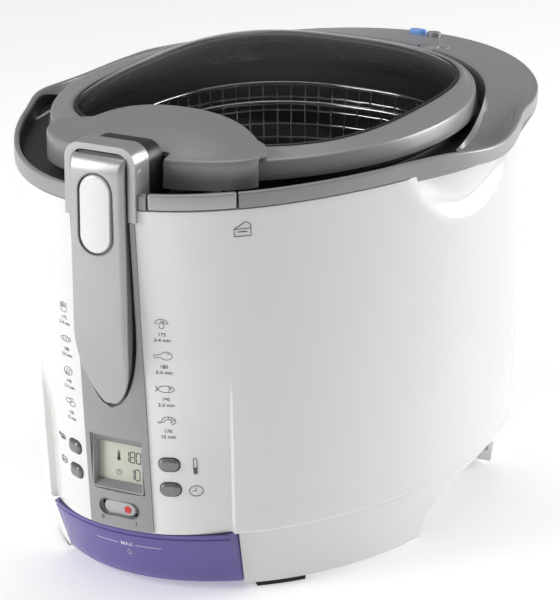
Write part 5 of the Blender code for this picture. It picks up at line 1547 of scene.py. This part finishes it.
@dataclass
class Basket:
    """Woven wire basket with rim wires and supports."""

    top: float = 0.215
    depth: float = 0.084
    cell: float = 0.0078
    radius: float = 0.00062

    def outline(self, z: float, angles: Sequence[float], inset: float = 0.0) -> list[Vector]:
        """Ring of the basket."""
        draw = 0.008 + 0.013 * (self.top - z) / self.depth + inset
        return oval(0.099 - draw, 0.123 - draw - 0.0025, -0.010, z, 2.5, angles)

    def even(self, count: int) -> list[float]:
        """Angles that divide the rim evenly by length."""
        fine = even_angles(1440)
        ring = self.outline(self.top, fine)
        lengths = [0.0]
        for a, b in zip(ring, ring[1:] + ring[:1]):
            lengths.append(lengths[-1] + (b - a).length)
        chosen, place = [], 0
        for i in range(count):
            while lengths[place] < lengths[-1] * i / count:
                place += 1
            chosen.append(fine[min(place, len(fine) - 1)])
        return chosen

    def walls(self) -> list[tuple[list[Vector], bool]]:
        """Upright and level wires, passing over and under each other."""
        count = 78
        angles = self.even(count)
        levels = [mix(self.top - 0.001, self.top - self.depth + 0.004, i / 10) for i in range(11)]
        rings = [self.outline(z, angles, self.radius * 1.2) for z in levels]
        low = self.outline(self.top - self.depth + 0.0012, angles, 0.004)
        centre = Vector((0.0, -0.010, 0.0))

        def woven(point: Vector, over: bool) -> Vector:
            out = (point - centre)
            out.z = 0.0
            return point + out.normalized() * (self.radius * (0.55 if over else -0.55))
        paths = []
        for i in range(count):
            line = [woven(ring[i], (i + j) % 2 == 0) for j, ring in enumerate(rings)]
            paths.append(([*line, low[i]], False))
        for j, ring in enumerate(rings[1:], 1):
            paths.append(([woven(point, (i + j) % 2 == 1) for i, point in enumerate(ring)], True))
        return paths

    def inside(self, x: float, y: float) -> bool:
        """Whether a place lies on the basket's floor."""
        half_width, half_depth = 0.099 - 0.0255, 0.123 - 0.028
        return (abs(x) / half_width) ** 2.5 + (abs(y + 0.010) / half_depth) ** 2.5 < 1.0

    def floor(self) -> list[tuple[list[Vector], bool]]:
        """Crossing wires of the floor."""
        z = self.top - self.depth + 0.0014
        paths = []
        for first, lift in (("x", 0), ("y", 1)):
            for i in range(-13, 14):
                across = i * self.cell
                line = []
                for j in range(-15, 16):
                    along = j * self.cell
                    x, y = (across, along - 0.010) if first == "x" else (along, across - 0.010)
                    if self.inside(x, y):
                        rise = self.radius * (0.55 if (i + j + lift) % 2 else -0.55)
                        line.append(Vector((x, y, z + rise)))
                if len(line) > 1:
                    paths.append((line, False))
        return paths

    def build(self) -> None:
        """Make the basket from its wires."""
        wire("basket_mesh", self.walls() + self.floor(), self.radius, Finish.CHROME, "basket", 1,
             ["basket"])
        angles = even_angles(160)
        low = self.top - self.depth
        rims = [(self.outline(z, angles, inset), True)
                for z, inset in ((self.top - 0.0008, 0.0014), (self.top - 0.012, 0.0022), (low + 0.0022, 0.0045))]
        wire("basket_rim", rims, 0.0014, Finish.CHROME, "basket", 3)


@dataclass
class Tray:
    """Translucent water tray with its lip, inner ledge and level mark."""

    half_width: float = 0.0544
    bottom: float = 0.0043
    top: float = 0.0368
    wall: float = 0.002

    def size(self, z: float, inset: float) -> Flat:
        """Half width and depth of the curve that the front follows."""
        share = z / FORM.shell_bottom
        wide, deep = FORM.size(FORM.shell_bottom)
        return mix(0.1137, wide, share), mix(0.161, deep, share) - 0.0006 - inset

    def front_y(self, x: float, z: float, inset: float = 0.0) -> float:
        """Y of the front at a place."""
        half_width, half_depth = self.size(z, inset)
        drawn = FORM.pinch(math.degrees(math.asin(x / half_width)), z)
        return drawn - half_depth * math.sqrt(1.0 - (x / half_width) ** 2)

    def outline(self, z: float, inset: float, sink: float = 0.0) -> list[Vector]:
        """Plan at a height; sink moves only the front."""
        side = self.half_width - inset
        narrow = side - 0.004
        steps = [side * i / 24.0 for i in range(-24, 25)]
        points = [Vector((x, self.front_y(x, z, inset + sink), z)) for x in steps]
        for x, y in ((side, -0.118), (narrow, -0.112), (narrow, -0.040 - inset), (-narrow, -0.040 - inset),
                     (-narrow, -0.112), (-side, -0.118)):
            points.append(Vector((x, y, z)))
        return points

    def build(self) -> None:
        """Model the tray and its level mark."""
        top, low = self.top, self.bottom
        rows = [(low, 0.0010, 0.0), (low + 0.0003, 0.0004, 0.0)]
        rows += [(z, 0.0, 0.0) for z in (low + 0.001, 0.012, 0.020, 0.028)]
        rows += [(0.0334, 0.0, 0.0), (0.0337, 0.0, 0.0008), (0.0341, 0.0, 0.0010), (0.0345, 0.0, 0.0008)]
        rows += [(0.0348, 0.0, 0.0), (top - 0.0006, 0.0, 0.0), (top - 0.0001, 0.0003, 0.0),
                (top, 0.0008, 0.0), (top, self.wall, 0.0), (0.0335, self.wall, 0.0), (0.0322, 0.0045, 0.0),
                (0.0300, 0.0045, 0.0), (0.0288, self.wall, 0.0), (0.020, self.wall, 0.0),
                (low + self.wall + 0.001, self.wall, 0.0), (low + self.wall, self.wall + 0.001, 0.0)]
        rings = [self.outline(z, inset, sink) for z, inset, sink in rows]
        add_piece("water_drawer", Skin(rings[0]).cap().draw(rings[1:]).cap().weld(), Finish.VIOLET, "water_tray",
                  ["water_tray"])

        def surface(x: float, z: float) -> float:
            """Y just before the tray's front."""
            return self.front_y(x, z, -0.0001)
        letter(["MAX"], [(0.0, 0.0268)], 0.0036, "tray_word", Finish.PALE_INK, "water_tray", surface)
        paths = []
        for side in (-1, 1):
            line = [(side * mix(0.0052, 0.0200, i / 12), 0.0268) for i in range(13)]
            paths.append(([Vector((x, surface(x, z), z)) for x, z in line], False))
        for points in Sign.DROP.value:
            placed = bend(points, (0.0, 0.0214), 0.0011)
            paths.append(([Vector((x, surface(x, z), z)) for x, z in placed], False))
        wire("tray_lines", paths, 0.00018, Finish.PALE_INK, "water_tray", 1)


# ---------------------------------------------------------------- studio
@dataclass
class Studio:
    """Pale floor, soft lights and the camera."""

    target: Vector = field(default_factory=lambda: Vector((0.00113, 0.0, 0.1134)))
    distance: float = 1.8984
    azimuth: float = 28.025
    elevation: float = 18.794
    lens: float = 198.83
    sky: Flat = (0.26, 0.08)
    lamps: tuple[tuple[str, Point, Flat, float], ...] = (
        ("overhead", (0.0, 0.3, 2.5), (2.4, 2.4), 24.0),
        ("front_left", (-1.35, -1.62, 1.0), (1.1, 1.6), 33.0),
        ("rear_right", (1.60, 1.75, 0.75), (1.2, 1.3), 38.0))

    def floor(self) -> None:
        """Round pale floor."""
        mesh = bmesh.new()
        bmesh.ops.create_circle(mesh, segments=96, radius=9.0, cap_ends=True)
        data = bpy.data.meshes.new("floor")
        mesh.to_mesh(data)
        mesh.free()
        graph = Graph("pale_floor")
        cloud = graph.noise(0.8, 2.0)
        graph.set(Base_Color=graph.colours((0.90, 0.90, 0.90), (0.93, 0.93, 0.93), cloud),
                  Roughness=0.55 + cloud * 0.1, Emission_Color=(1.0, 1.0, 1.0, 1.0), Emission_Strength=0.32)
        data.materials.append(graph.material)
        floor = bpy.data.objects.new("floor", data)
        bpy.context.scene.collection.objects.link(floor)

    def light(self, name: str, place: Point, size: Flat, power: float) -> None:
        """Area light aimed at the fryer."""
        lamp = bpy.data.lights.new(name, "AREA")
        lamp.shape = "RECTANGLE"
        lamp.size, lamp.size_y = size
        lamp.energy = power
        holder = bpy.data.objects.new(name, lamp)
        holder.location = place
        holder.rotation_euler = (self.target - Vector(place)).to_track_quat("-Z", "Y").to_euler()
        bpy.context.scene.collection.objects.link(holder)

    def camera(self) -> None:
        """Camera with a long lens."""
        turn, rise = math.radians(self.azimuth), math.radians(self.elevation)
        away = Vector((math.sin(turn) * math.cos(rise), -math.cos(turn) * math.cos(rise), math.sin(rise)))
        data = bpy.data.cameras.new("camera")
        data.lens = self.lens
        data.sensor_width = 36.0
        data.clip_end = 60.0
        camera = bpy.data.objects.new("camera", data)
        camera.location = self.target + away * self.distance
        camera.rotation_euler = (-away).to_track_quat("-Z", "Y").to_euler()
        bpy.context.scene.collection.objects.link(camera)
        bpy.context.scene.camera = camera

    def world(self) -> None:
        """Soft pale surroundings, brighter towards the ground."""
        world = bpy.data.worlds.new("studio")
        bpy.context.scene.world = world
        world.use_nodes = True
        tree = world.node_tree
        ground = tree.nodes["Background"]
        place = tree.nodes.new("ShaderNodeTexCoord")
        parts = tree.nodes.new("ShaderNodeSeparateXYZ")
        ramp = tree.nodes.new("ShaderNodeMapRange")
        for name, value in (("From Min", 0.1), ("From Max", 1.0), ("To Min", self.sky[0]), ("To Max", self.sky[1])):
            ramp.inputs[name].default_value = value
        tree.links.new(place.outputs["Generated"], parts.inputs[0])
        tree.links.new(parts.outputs["Z"], ramp.inputs["Value"])
        tree.links.new(ramp.outputs[0], ground.inputs["Color"])
        ground.inputs["Strength"].default_value = 1.0
        bpy.context.scene.view_settings.view_transform = "Standard"

    def build(self) -> None:
        """Set up the whole studio."""
        self.floor()
        self.world()
        for lamp in self.lamps:
            self.light(*lamp)
        self.camera()


def dress_rest() -> None:
    """Give every node of the frame its slot's finish."""
    slots = {part["node"]: part["material_slot"] for part in frame["record"]["subparts"]}
    for name, piece in frame["nodes"].items():
        piece.data.materials.clear()
        piece.data.materials.append(SLOT_FINISH[slots[name]].material())


def main() -> None:
    """Build the fryer's looks."""
    logging.basicConfig(level=logging.INFO, format="%(message)s")
    dress_rest()
    for part in (Shell(), Skirt(), Collar(), Strip(), DeckDetails(), Display(), Buttons(), Marks(), Handle(), Lid(),
                 Pot(), Basket(), Tray(), Studio()):
        LOG.info("building %s", type(part).__name__)
        part.build()


if __name__ == "__main__":
    main()
